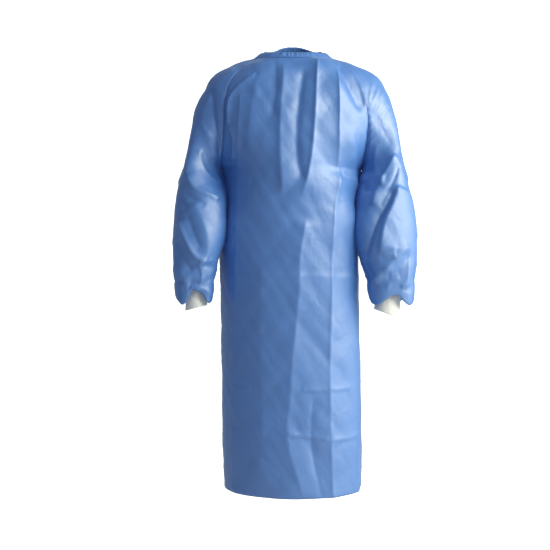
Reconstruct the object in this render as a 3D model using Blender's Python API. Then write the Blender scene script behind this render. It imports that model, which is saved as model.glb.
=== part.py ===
# Surgical gown in its worn shape, hollow, with nobody inside it.
# Metres. +X is the wearer's left, the front faces -Y, +Z is up. The origin is at the base of the neck.

import math

import bpy
import numpy as np

# Cloth
CLOTH_WALL = 0.0018
CUFF_WALL = 0.0022
TIE_WALL = 0.0012
SEAM_GAP = 0.0003

# Main heights
HEM_HEIGHT = -1.163
UNDERARM_HEIGHT = -0.305

# Number of cells along and across the pieces
ROWS_BELOW_UNDERARM = 17
ROWS_ALONG_RAGLAN = 9
UNDERARM_CROWDING = 1.15
COLUMNS_HALF_FRONT = 12
COLUMNS_HALF_BACK = 9
COLUMNS_HALF_SLEEVE = 9
ROWS_OF_SLEEVE = 13

# How full the body's section is, 0.55 for an ellipse
FULLNESS = 0.58

# The cloth leaves the underarm point at this angle, and is straight again this far below it
UNDERARM_TURN = 33.0
UNDERARM_PINCH = 0.16

# Where three pieces meet at the underarm point they stand apart by this many seam gaps
UNDERARM_OPENING = 2.6

OUTWARD = {"right": -1.0, "left": 1.0}
FORWARD = {"front": -1.0, "back": 1.0}

# Depth of the body at the centre front and centre back, by height
CENTRE = (
    ("height", "front_y", "back_y"),
    (
        (-1.163, -0.140, 0.166),
        (-0.900, -0.138, 0.162),
        (-0.600, -0.134, 0.156),
        (-0.400, -0.1335, 0.154),
        (-0.305, -0.1325, 0.152),
        (-0.220, -0.128, 0.148),
        (-0.150, -0.119, 0.139),
        (-0.090, -0.103, 0.126),
        (-0.045, -0.087, 0.112),
        (-0.015, -0.068, 0.096),
        (0.0285, -0.060, 0.082),
    ),
)

# Side seams, by height
SIDE_SEAM = (
    ("height", "right_x", "left_x", "y"),
    (
        (-1.163, -0.189, 0.187, 0.046),
        (-0.974, -0.193, 0.188, 0.046),
        (-0.768, -0.196, 0.183, 0.046),
        (-0.605, -0.199, 0.180, 0.046),
        (-0.480, -0.200, 0.180, 0.044),
        (-0.380, -0.195, 0.182, 0.036),
        (-0.305, -0.194, 0.186, 0.020),
    ),
)

# Raglan seams, by share of the way from the underarm to the neck.
# A turn is the angle from straight forward (or back) at which the cloth leaves the seam, positive
# outward, and a reach is how far it holds that way.
RAGLAN_COLUMNS = (
    "share", "right_x", "left_x", "y", "height", "body_turn", "body_reach", "sleeve_turn", "sleeve_reach",
)
RAGLAN = {
    "front": (
        RAGLAN_COLUMNS,
        (
            (0.00, -0.194, 0.186, 0.020, -0.305, -33.0, 0.087, 33.0, 0.108),
            (0.14, -0.191, 0.191, -0.020, -0.272, -42.0, 0.064, 50.0, 0.055),
            (0.28, -0.187, 0.196, -0.054, -0.227, -50.0, 0.055, 80.0, 0.034),
            (0.43, -0.183, 0.197, -0.070, -0.175, -58.0, 0.060, 108.0, 0.028),
            (0.58, -0.181, 0.188, -0.075, -0.125, -62.0, 0.062, 112.0, 0.028),
            (0.72, -0.170, 0.173, -0.069, -0.084, -62.0, 0.058, 116.0, 0.026),
            (0.87, -0.140, 0.142, -0.052, -0.042, -55.0, 0.045, 124.0, 0.022),
            (1.00, -0.097, 0.096, -0.024, -0.010, -36.0, 0.034, 146.0, 0.012),
        ),
    ),
    "back": (
        RAGLAN_COLUMNS,
        (
            (0.00, -0.194, 0.186, 0.020, -0.305, -33.0, 0.077, 33.0, 0.098),
            (0.14, -0.190, 0.188, 0.060, -0.272, -44.0, 0.055, 50.0, 0.055),
            (0.28, -0.186, 0.188, 0.088, -0.227, -58.0, 0.055, 82.0, 0.036),
            (0.43, -0.181, 0.184, 0.101, -0.175, -66.0, 0.060, 108.0, 0.032),
            (0.58, -0.174, 0.177, 0.105, -0.125, -68.0, 0.060, 112.0, 0.032),
            (0.72, -0.162, 0.164, 0.101, -0.080, -66.0, 0.055, 116.0, 0.030),
            (0.87, -0.130, 0.132, 0.084, -0.034, -60.0, 0.045, 124.0, 0.024),
            (1.00, -0.088, 0.088, 0.050, 0.009, -50.0, 0.034, 138.0, 0.014),
        ),
    ),
}

# Top line of the sleeve over the shoulder, by share of the way from the underarm to the neck
SHOULDER = (
    ("share", "right_x", "left_x", "y", "height", "reach"),
    (
        (0.00, -0.289, 0.294, -0.002, -0.273, 0.104),
        (0.14, -0.279, 0.286, 0.002, -0.228, 0.085),
        (0.28, -0.273, 0.279, 0.006, -0.180, 0.066),
        (0.43, -0.262, 0.268, 0.010, -0.137, 0.056),
        (0.58, -0.243, 0.253, 0.012, -0.095, 0.050),
        (0.72, -0.218, 0.226, 0.014, -0.053, 0.045),
        (0.87, -0.160, 0.164, 0.014, -0.021, 0.034),
        (1.00, -0.102, 0.104, 0.012, -0.002, 0.018),
    ),
)

# Sleeve tubes, by share of the way from the underarm to the cuff end
SLEEVE_COLUMNS = (
    "share", "outer_x", "outer_z", "outer_y", "inner_x", "inner_z", "inner_y", "front_reach", "back_reach",
)
SLEEVE = {
    "right": (
        SLEEVE_COLUMNS,
        (
            (0.00, -0.289, -0.273, -0.002, -0.194, -0.305, 0.020, 0.106, 0.100),
            (0.14, -0.300, -0.322, -0.012, -0.197, -0.350, 0.000, 0.098, 0.094),
            (0.32, -0.313, -0.387, -0.022, -0.194, -0.405, -0.022, 0.092, 0.088),
            (0.52, -0.320, -0.455, -0.030, -0.194, -0.462, -0.036, 0.090, 0.086),
            (0.72, -0.321, -0.519, -0.036, -0.198, -0.520, -0.044, 0.088, 0.084),
            (0.87, -0.318, -0.576, -0.042, -0.203, -0.574, -0.048, 0.084, 0.078),
            (1.00, -0.315, -0.622, -0.047, -0.209, -0.618, -0.050, 0.076, 0.070),
        ),
    ),
    "left": (
        SLEEVE_COLUMNS,
        (
            (0.00, 0.294, -0.273, -0.002, 0.186, -0.305, 0.020, 0.106, 0.100),
            (0.14, 0.305, -0.330, -0.012, 0.189, -0.350, 0.000, 0.100, 0.096),
            (0.32, 0.320, -0.392, -0.022, 0.184, -0.405, -0.024, 0.096, 0.092),
            (0.52, 0.328, -0.455, -0.030, 0.181, -0.462, -0.042, 0.096, 0.092),
            (0.72, 0.329, -0.512, -0.036, 0.184, -0.520, -0.048, 0.094, 0.090),
            (0.87, 0.327, -0.570, -0.042, 0.188, -0.576, -0.052, 0.090, 0.084),
            (1.00, 0.322, -0.620, -0.047, 0.195, -0.626, -0.054, 0.082, 0.076),
        ),
    ),
}

# Rolled end of a sleeve, which hangs over the cuff in a lobe on each side.
# Size is a share of the sleeve's last ring, and rise is above the lowest line of the roll.
ROLL_HEIGHT = -0.655
LOBE_DROP = 0.015
ROLL = (
    ("size", "rise"),
    ((0.99, 0.011), (0.94, 0.002), (0.86, 0.000), (0.79, 0.007)),
)

# Knit cuffs: centre of the top ring and of the end ring, and half the width and depth of each
CUFF_COLUMNS = ("share", "x", "y", "z", "half_width", "half_depth", "tilt")
CUFF = {
    "right": (
        CUFF_COLUMNS,
        (
            (0.0, -0.258, -0.049, -0.618, 0.0295, 0.031, 0.05),
            (0.5, -0.2575, -0.050, -0.648, 0.0285, 0.030, 0.15),
            (1.0, -0.257, -0.051, -0.676, 0.0295, 0.031, 0.25),
        ),
    ),
    "left": (
        CUFF_COLUMNS,
        (
            (0.0, 0.252, -0.051, -0.622, 0.0330, 0.034, -0.05),
            (0.5, 0.250, -0.053, -0.658, 0.0330, 0.034, -0.22),
            (1.0, 0.249, -0.055, -0.692, 0.0360, 0.036, -0.38),
        ),
    ),
}
CUFF_SEAM_SHARE = 0.12
CUFF_ROWS = 4

# The two backs pass each other at the centre back by this many columns each
OVERLAP_COLUMNS = 4
OVERLAP_EASE_COLUMNS = 3

# Neck binding, leaning in toward the neck
BINDING_RISE = 0.0145
BINDING_LEAN_X = 0.80
BINDING_LEAN_Y = 0.88
BINDING_CENTRE_Y = 0.008
BINDING_ROWS = 2

# Folds of the front, as lines seen from the front. Height is out of the cloth, negative for a trough.
FOLD_COLUMNS = ("x_top", "z_top", "x_bottom", "z_bottom", "half_width", "height")
FRONT_FOLDS = (
    FOLD_COLUMNS,
    (
        (0.066, -0.020, 0.050, -0.230, 0.026, 0.0045),
        (0.050, -0.230, 0.030, -0.400, 0.026, 0.0035),
        (0.036, -0.050, 0.022, -0.250, 0.018, -0.0050),
        (0.112, -0.060, 0.100, -0.520, 0.024, 0.0040),
        (0.100, -0.520, 0.096, -1.163, 0.024, 0.0050),
        (0.036, -0.480, -0.012, -1.000, 0.030, 0.0055),
        (-0.012, -1.000, 0.020, -1.163, 0.026, 0.0045),
        (0.000, -0.520, -0.045, -1.163, 0.024, -0.0045),
        (-0.135, -0.110, -0.155, -1.163, 0.022, 0.0035),
        (-0.100, -0.300, -0.105, -1.163, 0.034, -0.0030),
    ),
)
BACK_FOLDS = (
    FOLD_COLUMNS,
    (
        (-0.110, -0.120, -0.130, -1.163, 0.034, 0.0045),
        (0.118, -0.140, 0.138, -1.163, 0.034, 0.0045),
        (0.075, -0.350, 0.085, -1.163, 0.026, -0.0040),
    ),
)

# Folds of the sleeves. Around is 0 on the outer line, 1 on the inner line by way of the front, -1 by
# way of the back.
SLEEVE_FOLD_COLUMNS = ("around_top", "z_top", "around_bottom", "z_bottom", "half_width", "height")
SLEEVE_FOLDS = {
    "right": (
        SLEEVE_FOLD_COLUMNS,
        (
            (0.16, -0.205, 0.70, -0.270, 0.020, -0.0040),
            (0.12, -0.330, 0.82, -0.385, 0.022, 0.0040),
            (0.12, -0.440, 0.56, -0.560, 0.022, 0.0060),
            (0.40, -0.420, 0.85, -0.540, 0.024, -0.0040),
            (-0.20, -0.300, -0.70, -0.420, 0.024, -0.0040),
            (-0.25, -0.470, -0.70, -0.570, 0.024, 0.0045),
        ),
    ),
    "left": (
        SLEEVE_FOLD_COLUMNS,
        (
            (0.34, -0.300, 0.75, -0.430, 0.022, 0.0050),
            (0.30, -0.360, 0.76, -0.540, 0.022, -0.0050),
            (0.12, -0.500, 0.80, -0.580, 0.022, 0.0045),
            (0.20, -0.150, 0.62, -0.250, 0.022, -0.0035),
            (-0.20, -0.320, -0.70, -0.440, 0.024, 0.0045),
            (-0.25, -0.460, -0.70, -0.580, 0.024, -0.0045),
        ),
    ),
}

# Pieces that lie on a back panel, by columns of that panel from its right edge, and by rows
TIE_COLUMNS = {"right": (2, 3), "left": (0, 1)}
TIE_ROWS = 8
TIE_ROWS_FROM_TOP = 4
TAB_COLUMNS = (0, 2)

# Colours, as linear red, green and blue
CLOTH_COLOUR = (0.085, 0.205, 0.520, 1.0)
BINDING_COLOUR = (0.075, 0.185, 0.480, 1.0)
KNIT_COLOUR = (0.780, 0.775, 0.760, 1.0)
TAPE_COLOUR = (0.700, 0.700, 0.690, 1.0)
LOOKS = {
    "front_panel": (CLOTH_COLOUR, 0.55),
    "back_panel_right": (CLOTH_COLOUR, 0.55),
    "back_panel_left": (CLOTH_COLOUR, 0.55),
    "sleeve_right": (CLOTH_COLOUR, 0.55),
    "sleeve_left": (CLOTH_COLOUR, 0.55),
    "cuff_right": (KNIT_COLOUR, 0.90),
    "cuff_left": (KNIT_COLOUR, 0.90),
    "neck_binding": (BINDING_COLOUR, 0.60),
    "waist_tie_right": (CLOTH_COLOUR, 0.55),
    "waist_tie_left": (CLOTH_COLOUR, 0.55),
    "neck_tab": (TAPE_COLOUR, 0.80),
}


def look_up(table, name, where):
    """Value of a named column at a place in the first column, eased between the rows."""
    columns, rows = table
    grid = np.array(rows, dtype=float)
    places = grid[:, 0]
    values = grid[:, columns.index(name)]
    slopes = np.gradient(values, places)
    low = int(np.clip(np.searchsorted(places, where, side="right") - 1, 0, len(places) - 2))
    span = places[low + 1] - places[low]
    t = float(np.clip((where - places[low]) / span, 0.0, 1.0))
    ease = t * t * (3.0 - 2.0 * t)
    leave = t * (1.0 - t) ** 2 * span * slopes[low]
    arrive = -t * t * (1.0 - t) * span * slopes[low + 1]
    return float(values[low] + ease * (values[low + 1] - values[low]) + leave + arrive)


def ease_between(low, high, value):
    """0 at low, 1 at high, eased at both ends."""
    t = np.clip((value - low) / (high - low), 0.0, 1.0)
    return t * t * (3.0 - 2.0 * t)


def arc(start, start_pull, end, end_pull, steps):
    """Points of a curve that leaves each end along that end's pull."""
    t = np.linspace(0.0, 1.0, steps + 1)[:, None]
    first = (1.0 - t) ** 3 * start + 3.0 * (1.0 - t) ** 2 * t * (start + start_pull)
    second = 3.0 * (1.0 - t) * t**2 * (end + end_pull) + t**3 * end
    return first + second


def turned_pull(face, side, turn, reach):
    """Pull that goes straight to the front or back, turned outward by an angle in degrees."""
    angle = math.radians(turn)
    return reach * np.array((OUTWARD[side] * math.sin(angle), FORWARD[face] * math.cos(angle), 0.0))


def raglan_point(face, side, share):
    """Point of a raglan seam."""
    table = RAGLAN[face]
    return np.array((look_up(table, side + "_x", share), look_up(table, "y", share), look_up(table, "height", share)))


def body_edge(face, side, level):
    """Side point of a body row and the pull of the cloth there. Level is 0 at the hem, 1 at the underarm, 2 at
    the neck."""
    if level > 1.0:
        share = level - 1.0
        turn = look_up(RAGLAN[face], "body_turn", share)
        reach = look_up(RAGLAN[face], "body_reach", share)
        return raglan_point(face, side, share), turned_pull(face, side, turn, reach)
    height = HEM_HEIGHT + level * (UNDERARM_HEIGHT - HEM_HEIGHT)
    side_y = look_up(SIDE_SEAM, "y", height)
    point = np.array((look_up(SIDE_SEAM, side + "_x", height), side_y, height))
    reach = FULLNESS * abs(look_up(CENTRE, face + "_y", height) - side_y)
    turn = -UNDERARM_TURN * ease_between(UNDERARM_HEIGHT - UNDERARM_PINCH, UNDERARM_HEIGHT, height)
    return point, turned_pull(face, side, turn, reach)


def centre_height(face, level):
    """Height of a body row at the centre front or back."""
    if level <= 1.0:
        return HEM_HEIGHT + level * (UNDERARM_HEIGHT - HEM_HEIGHT)
    neck_height = {"front": -0.015, "back": 0.0285}[face]
    seam_height = look_up(RAGLAN[face], "height", level - 1.0)
    seam_end = look_up(RAGLAN[face], "height", 1.0)
    return UNDERARM_HEIGHT + (neck_height - UNDERARM_HEIGHT) * (seam_height - UNDERARM_HEIGHT) / (seam_end - UNDERARM_HEIGHT)


def body_row(face, level, half_steps):
    """Points of one row of the front or back, from the wearer's right side to the left side."""
    height = centre_height(face, level)
    centre = np.array((0.0, look_up(CENTRE, face + "_y", height), height))
    halves = {}
    for side in ("right", "left"):
        edge, edge_pull = body_edge(face, side, level)
        centre_pull = np.array((FULLNESS * (edge[0] - centre[0]), 0.0, 0.0))
        halves[side] = arc(centre, centre_pull, edge, edge_pull, half_steps)
    return np.vstack((halves["right"][::-1], halves["left"][1:]))


def body_levels():
    """Levels of the body rows from the hem to the neck."""
    below = np.linspace(0.0, 1.0, ROWS_BELOW_UNDERARM + 1)
    above = 1.0 + raglan_shares()[1:]
    return np.concatenate((below, above))


def raglan_shares():
    """Shares of the rows along the raglan seams, closer together near the underarm."""
    return np.linspace(0.0, 1.0, ROWS_ALONG_RAGLAN + 1) ** UNDERARM_CROWDING


def sleeve_row_above(side, share, half_steps):
    """Points of a sleeve row above the underarm, from the front seam over the top to the back seam."""
    top = np.array(
        (look_up(SHOULDER, side + "_x", share), look_up(SHOULDER, "y", share), look_up(SHOULDER, "height", share))
    )
    top_reach = look_up(SHOULDER, "reach", share)
    halves = {}
    for face in ("front", "back"):
        turn = look_up(RAGLAN[face], "sleeve_turn", share)
        reach = look_up(RAGLAN[face], "sleeve_reach", share)
        seam_pull = turned_pull(face, side, turn, reach)
        top_pull = np.array((0.0, FORWARD[face] * top_reach, 0.0))
        halves[face] = arc(top, top_pull, raglan_point(face, side, share), seam_pull, half_steps)
    return np.vstack((halves["front"][::-1], halves["back"][1:]))


def sleeve_row_below(side, share, half_steps):
    """Points of a closed sleeve row below the underarm, from the inner line by way of the front."""
    table = SLEEVE[side]
    outer = np.array([look_up(table, name, share) for name in ("outer_x", "outer_y", "outer_z")])
    inner = np.array([look_up(table, name, share) for name in ("inner_x", "inner_y", "inner_z")])
    turn = UNDERARM_TURN * (1.0 - ease_between(0.0, 0.3, share))
    halves = {}
    for face in ("front", "back"):
        reach = look_up(table, face + "_reach", share)
        outer_pull = np.array((0.0, FORWARD[face] * reach, 0.0))
        inner_pull = turned_pull(face, side, turn, reach)
        halves[face] = arc(outer, outer_pull, inner, inner_pull, half_steps)
    return np.vstack((halves["front"][::-1], halves["back"][1:]))


def roll_rows(side, half_steps):
    """Rows of the rolled sleeve end, from the outside round under to the inside."""
    last = sleeve_row_below(side, 1.0, half_steps)
    middle = last.mean(axis=0)
    turn = np.linspace(0.0, 2.0 * math.pi, len(last))
    lowest = ROLL_HEIGHT - LOBE_DROP * np.cos(2.0 * turn)
    rows = []
    for size, rise in ROLL[1]:
        row = middle + size * (last - middle)
        row[:, 2] = lowest + rise
        rows.append(row)
    return rows


def cuff_ring(side, share, out, half_steps):
    """Closed ring of a cuff, moved out by a distance, from the inner line by way of the front."""
    table = CUFF[side]
    centre = np.array([look_up(table, name, share) for name in ("x", "y", "z")])
    width = look_up(table, "half_width", share) + out
    depth = look_up(table, "half_depth", share) + out
    tilt = look_up(table, "tilt", share)
    turn = np.linspace(0.0, 2.0 * math.pi, 2 * half_steps + 1)
    across = -OUTWARD[side] * width * np.cos(turn)
    along = -depth * np.sin(turn)
    return centre + np.stack((across, along, tilt * across), axis=1)


def index_rows(rows, closed_flags):
    """Points of all rows in one list, and their numbers row by row. A closed row ends on its own first point."""
    points = []
    numbers = []
    for row, closed in zip(rows, closed_flags):
        start = len(points)
        kept = row[:-1] if closed else row
        points.extend(kept)
        names = list(range(start, start + len(kept)))
        numbers.append(names + [start] if closed else names)
    return np.array(points), numbers


def faces_between(numbers, flip):
    """Triangles between neighbouring rows, facing out of the garment."""
    triangles = []
    for low, high in zip(numbers[:-1], numbers[1:]):
        for k in range(len(low) - 1):
            a, b, c, d = low[k], low[k + 1], high[k + 1], high[k]
            pair = ((a, b, c), (a, c, d))
            triangles.extend((t[::-1] if flip else t) for t in pair)
    return triangles


def point_normals(points, triangles):
    """Unit normals of the points."""
    faces = np.array(triangles)
    corners = points[faces]
    crosses = np.cross(corners[:, 1] - corners[:, 0], corners[:, 2] - corners[:, 0])
    normals = np.zeros_like(points)
    for k in range(3):
        np.add.at(normals, faces[:, k], crosses)
    return normals / np.maximum(np.linalg.norm(normals, axis=1), 1e-12)[:, None]


def border_edges(triangles):
    """Directed edges that have a triangle on one side only."""
    directed = {(t[k], t[(k + 1) % 3]) for t in triangles for k in range(3)}
    return [(a, b) for a, b in directed if (b, a) not in directed]


def fold_height(places, table):
    """Sum of the folds at each place. A fold is a soft line that fades at both ends."""
    columns, rows = table
    total = np.zeros(len(places))
    for row in rows:
        start = np.array(row[0:2])
        end = np.array(row[2:4])
        half_width, height = row[4], row[5]
        line = end - start
        length = np.linalg.norm(line)
        along = (places - start) @ line / length
        nearest = start + np.outer(np.clip(along, 0.0, length) / length, line)
        away = np.linalg.norm(places - nearest, axis=1) / half_width
        total += height * np.exp(-(away**2))
    return total


def fold_piece(piece, places, table, mask):
    """Moves the points of a piece in or out by its folds. The mask is 0 where the cloth stays."""
    normals = point_normals(piece["points"], piece["triangles"])
    piece["points"] = piece["points"] + normals * (fold_height(places, table) * mask)[:, None]


def make_front():
    """Front panel, from side seam to side seam and up to the neck."""
    levels = body_levels()
    rows = [body_row("front", level, COLUMNS_HALF_FRONT) for level in levels]
    points, numbers = index_rows(rows, [False] * len(rows))
    piece = {"points": points, "triangles": faces_between(numbers, False), "wall": CLOTH_WALL}
    across = np.tile(np.linspace(-1.0, 1.0, len(rows[0])), len(rows))
    level_of = np.repeat(levels, len(rows[0]))
    mask = (1.0 - ease_between(0.70, 1.0, np.abs(across))) * (1.0 - ease_between(1.75, 2.0, level_of))
    fold_piece(piece, points[:, [0, 2]], FRONT_FOLDS, mask)
    piece["top_row"] = piece["points"][numbers[-1]]
    return piece


def make_back(side):
    """Back panel of one side. The left one passes over the right one at the centre back."""
    levels = body_levels()
    full = 2 * COLUMNS_HALF_BACK
    reach = COLUMNS_HALF_BACK + OVERLAP_COLUMNS
    columns = slice(0, reach + 1) if side == "right" else slice(full - reach, full + 1)
    rows = [body_row("back", level, COLUMNS_HALF_BACK)[columns] for level in levels]
    points, numbers = index_rows(rows, [False] * len(rows))
    piece = {"points": points, "triangles": faces_between(numbers, True), "wall": CLOTH_WALL}
    column_of = np.tile(np.arange(full + 1)[columns], len(rows))
    across = np.abs(column_of / COLUMNS_HALF_BACK - 1.0)
    level_of = np.repeat(levels, len(rows[0]))
    mask = (1.0 - ease_between(0.70, 1.0, across)) * (1.0 - ease_between(1.70, 2.0, level_of))
    fold_piece(piece, points[:, [0, 2]], BACK_FOLDS, mask)
    if side == "right":
        under_from = COLUMNS_HALF_BACK - OVERLAP_COLUMNS
        under = ease_between(under_from - OVERLAP_EASE_COLUMNS, under_from, column_of)
        normals = point_normals(piece["points"], piece["triangles"])
        piece["points"] = piece["points"] - normals * ((CLOTH_WALL + SEAM_GAP) * under)[:, None]
    piece["top_row"] = piece["points"][numbers[-1]]
    piece["width"] = len(rows[0])
    piece["patch_wall"] = TIE_WALL
    return piece


def make_sleeve(side):
    """Raglan sleeve, from the neck over the shoulder down to the rolled end above the cuff."""
    steps = COLUMNS_HALF_SLEEVE
    end = [cuff_ring(side, CUFF_SEAM_SHARE, SEAM_GAP, steps)]
    roll = roll_rows(side, steps)
    shares = np.linspace(1.0, 0.0, ROWS_OF_SLEEVE + 1)[:-1]
    tube = [sleeve_row_below(side, share, steps) for share in shares]
    above = [sleeve_row_above(side, share, steps) for share in raglan_shares()]
    rows = end + roll[::-1] + tube + above
    closed = [True] * (len(rows) - len(above) + 1) + [False] * (len(above) - 1)
    points, numbers = index_rows(rows, closed)
    piece = {"points": points, "triangles": faces_between(numbers, side == "right"), "wall": CLOTH_WALL}
    around = np.zeros(len(points))
    for names in numbers:
        around[names[:-1]] = np.linspace(1.0, -1.0, len(names))[:-1]
        if names[-1] != names[0]:
            around[names[-1]] = -1.0
    height = points[:, 2]
    lower = ease_between(-0.640, -0.600, height)
    upper = 1.0 - ease_between(-0.200, -0.100, height)
    mask = (1.0 - ease_between(0.55, 0.95, np.abs(around))) * lower * upper
    half_round = 0.20
    places = np.stack((around * half_round, height), axis=1)
    columns, folds = SLEEVE_FOLDS[side]
    scaled = [(f[0] * half_round, f[1], f[2] * half_round, f[3], f[4], f[5]) for f in folds]
    fold_piece(piece, places, (columns, scaled), mask)
    piece["top_row"] = piece["points"][numbers[-1]]
    return piece


def make_cuff(side):
    """Knit cuff tube, its upper end hidden inside the rolled sleeve end."""
    rows = [cuff_ring(side, share, 0.0, COLUMNS_HALF_SLEEVE) for share in np.linspace(1.0, 0.0, CUFF_ROWS + 1)]
    points, numbers = index_rows(rows, [True] * len(rows))
    return {"points": points, "triangles": faces_between(numbers, side == "right"), "wall": CUFF_WALL}


def make_binding(front, sleeves, backs):
    """Neck binding along the top edges of the panels, its ends passing each other with the backs."""
    path = np.vstack(
        (
            backs["right"]["top_row"][::-1],
            sleeves["right"]["top_row"][::-1][1:-1],
            front["top_row"],
            sleeves["left"]["top_row"][1:-1],
            backs["left"]["top_row"][::-1],
        )
    )
    rows = []
    for share in np.linspace(0.0, 1.0, BINDING_ROWS + 1):
        row = path.copy()
        row[:, 0] *= 1.0 + (BINDING_LEAN_X - 1.0) * share
        row[:, 1] = BINDING_CENTRE_Y + (path[:, 1] - BINDING_CENTRE_Y) * (1.0 + (BINDING_LEAN_Y - 1.0) * share)
        row[:, 2] += BINDING_RISE * share
        rows.append(row)
    points, numbers = index_rows(rows, [False] * len(rows))
    return {"points": points, "triangles": faces_between(numbers, False), "wall": CLOTH_WALL}


def make_patch(panel, columns, rows):
    """Strip lying on a panel, made from the panel's own points between two columns and two rows, moved out."""
    grid = panel["points"].reshape(-1, panel["width"], 3)
    lift = point_normals(panel["points"], panel["triangles"]).reshape(grid.shape) * (panel["patch_wall"] + SEAM_GAP)
    raised = (grid + lift)[rows[0] : rows[1] + 1, columns[0] : columns[1] + 1].copy()
    points, numbers = index_rows(list(raised), [False] * len(raised))
    return {"points": points, "triangles": faces_between(numbers, True), "wall": panel["patch_wall"]}


def seam_key(point):
    """Name of a place, the same for every piece that has a seam point there."""
    return tuple(np.round(point, 6).tolist())


def open_seams(pieces):
    """Gives seam points one normal for all pieces that meet there, and parts the pieces by the seam gap."""
    meeting = {}
    borders = {}
    for name, piece in pieces.items():
        piece["normals"] = point_normals(piece["points"], piece["triangles"])
        borders[name] = border_edges(piece["triangles"])
        for k in sorted({a for a, b in borders[name]}):
            meeting.setdefault(seam_key(piece["points"][k]), []).append((name, k))
    underarms = {seam_key(raglan_point("front", side, 0.0)) for side in OUTWARD}
    shared = {}
    for key, members in meeting.items():
        if len(members) < 2:
            continue
        total = sum(pieces[name]["normals"][k] for name, k in members)
        shared[key] = np.array((0.0, 0.0, -1.0)) if key in underarms else total / np.linalg.norm(total)
    for name, piece in pieces.items():
        points = piece["points"]
        after = {a: b for a, b in borders[name]}
        before = {b: a for a, b in borders[name]}
        inward = inward_directions(points, piece["triangles"])
        moved = points.copy()
        for k in sorted(after):
            key = seam_key(points[k])
            if key not in shared:
                continue
            normal = shared[key]
            leave = points[after[k]] - points[k]
            arrive = points[k] - points[before[k]]
            corner = leave @ arrive < math.cos(math.radians(40.0)) * np.linalg.norm(leave) * np.linalg.norm(arrive)
            way = inward[k] - normal * (inward[k] @ normal)
            if not corner and key not in underarms:
                tangent = (leave + arrive) / np.linalg.norm(leave + arrive)
                way = way - tangent * (way @ tangent)
            size = math.sqrt(2.0) if corner else 1.0
            if key in underarms:
                size = UNDERARM_OPENING
            moved[k] = points[k] + way / np.linalg.norm(way) * 0.5 * SEAM_GAP * size
            piece["normals"][k] = normal
        piece["points"] = moved


def inward_directions(points, triangles):
    """For each point, the way to the middle of the triangles round it."""
    faces = np.array(triangles)
    middles = points[faces].mean(axis=1)
    total = np.zeros_like(points)
    for k in range(3):
        np.add.at(total, faces[:, k], middles - points[faces[:, k]])
    return total


def add_solid(name, piece, material):
    """Closed wall of a piece as a mesh object, its location at the middle of the piece."""
    outer = piece["points"]
    inner = outer - piece["normals"] * piece["wall"]
    count = len(outer)
    faces = [tuple(t) for t in piece["triangles"]]
    faces += [tuple(k + count for k in t[::-1]) for t in piece["triangles"]]
    for a, b in border_edges(piece["triangles"]):
        faces.append((b, a, a + count))
        faces.append((b, a + count, b + count))
    origin = np.round(outer.mean(axis=0), 3)
    mesh = bpy.data.meshes.new(name)
    mesh.from_pydata((np.vstack((outer, inner)) - origin).tolist(), [], faces)
    mesh.materials.append(material)
    solid = bpy.data.objects.new(name, mesh)
    solid.location = origin.tolist()
    bpy.context.scene.collection.objects.link(solid)


def make_material(name, colour, roughness):
    """Plain cloth material."""
    material = bpy.data.materials.new(name)
    material.use_nodes = True
    shader = material.node_tree.nodes["Principled BSDF"]
    shader.inputs["Base Color"].default_value = colour
    shader.inputs["Roughness"].default_value = roughness
    shader.inputs["Metallic"].default_value = 0.0
    return material


def clear_scene():
    """Removes whatever the scene holds."""
    for thing in list(bpy.data.objects):
        bpy.data.objects.remove(thing, do_unlink=True)


def build_gown():
    """Makes all pieces of the gown."""
    clear_scene()
    front = make_front()
    backs = {side: make_back(side) for side in OUTWARD}
    sleeves = {side: make_sleeve(side) for side in OUTWARD}
    tie_rows = (ROWS_BELOW_UNDERARM - TIE_ROWS_FROM_TOP - TIE_ROWS, ROWS_BELOW_UNDERARM - TIE_ROWS_FROM_TOP)
    top_row = ROWS_BELOW_UNDERARM + ROWS_ALONG_RAGLAN
    panels = {
        "front_panel": front,
        "back_panel_right": backs["right"],
        "back_panel_left": backs["left"],
        "sleeve_right": sleeves["right"],
        "sleeve_left": sleeves["left"],
        "cuff_right": make_cuff("right"),
        "cuff_left": make_cuff("left"),
        "neck_binding": make_binding(front, sleeves, backs),
    }
    patches = {
        "waist_tie_right": make_patch(backs["right"], TIE_COLUMNS["right"], tie_rows),
        "waist_tie_left": make_patch(backs["left"], TIE_COLUMNS["left"], tie_rows),
        "neck_tab": make_patch(backs["left"], TAB_COLUMNS, (top_row - 1, top_row)),
    }
    open_seams(panels)
    for piece in patches.values():
        piece["normals"] = point_normals(piece["points"], piece["triangles"])
    for name, piece in {**panels, **patches}.items():
        colour, roughness = LOOKS[name]
        add_solid(name, piece, make_material(name + "_cloth", colour, roughness))


build_gown()
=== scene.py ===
import math

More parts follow.
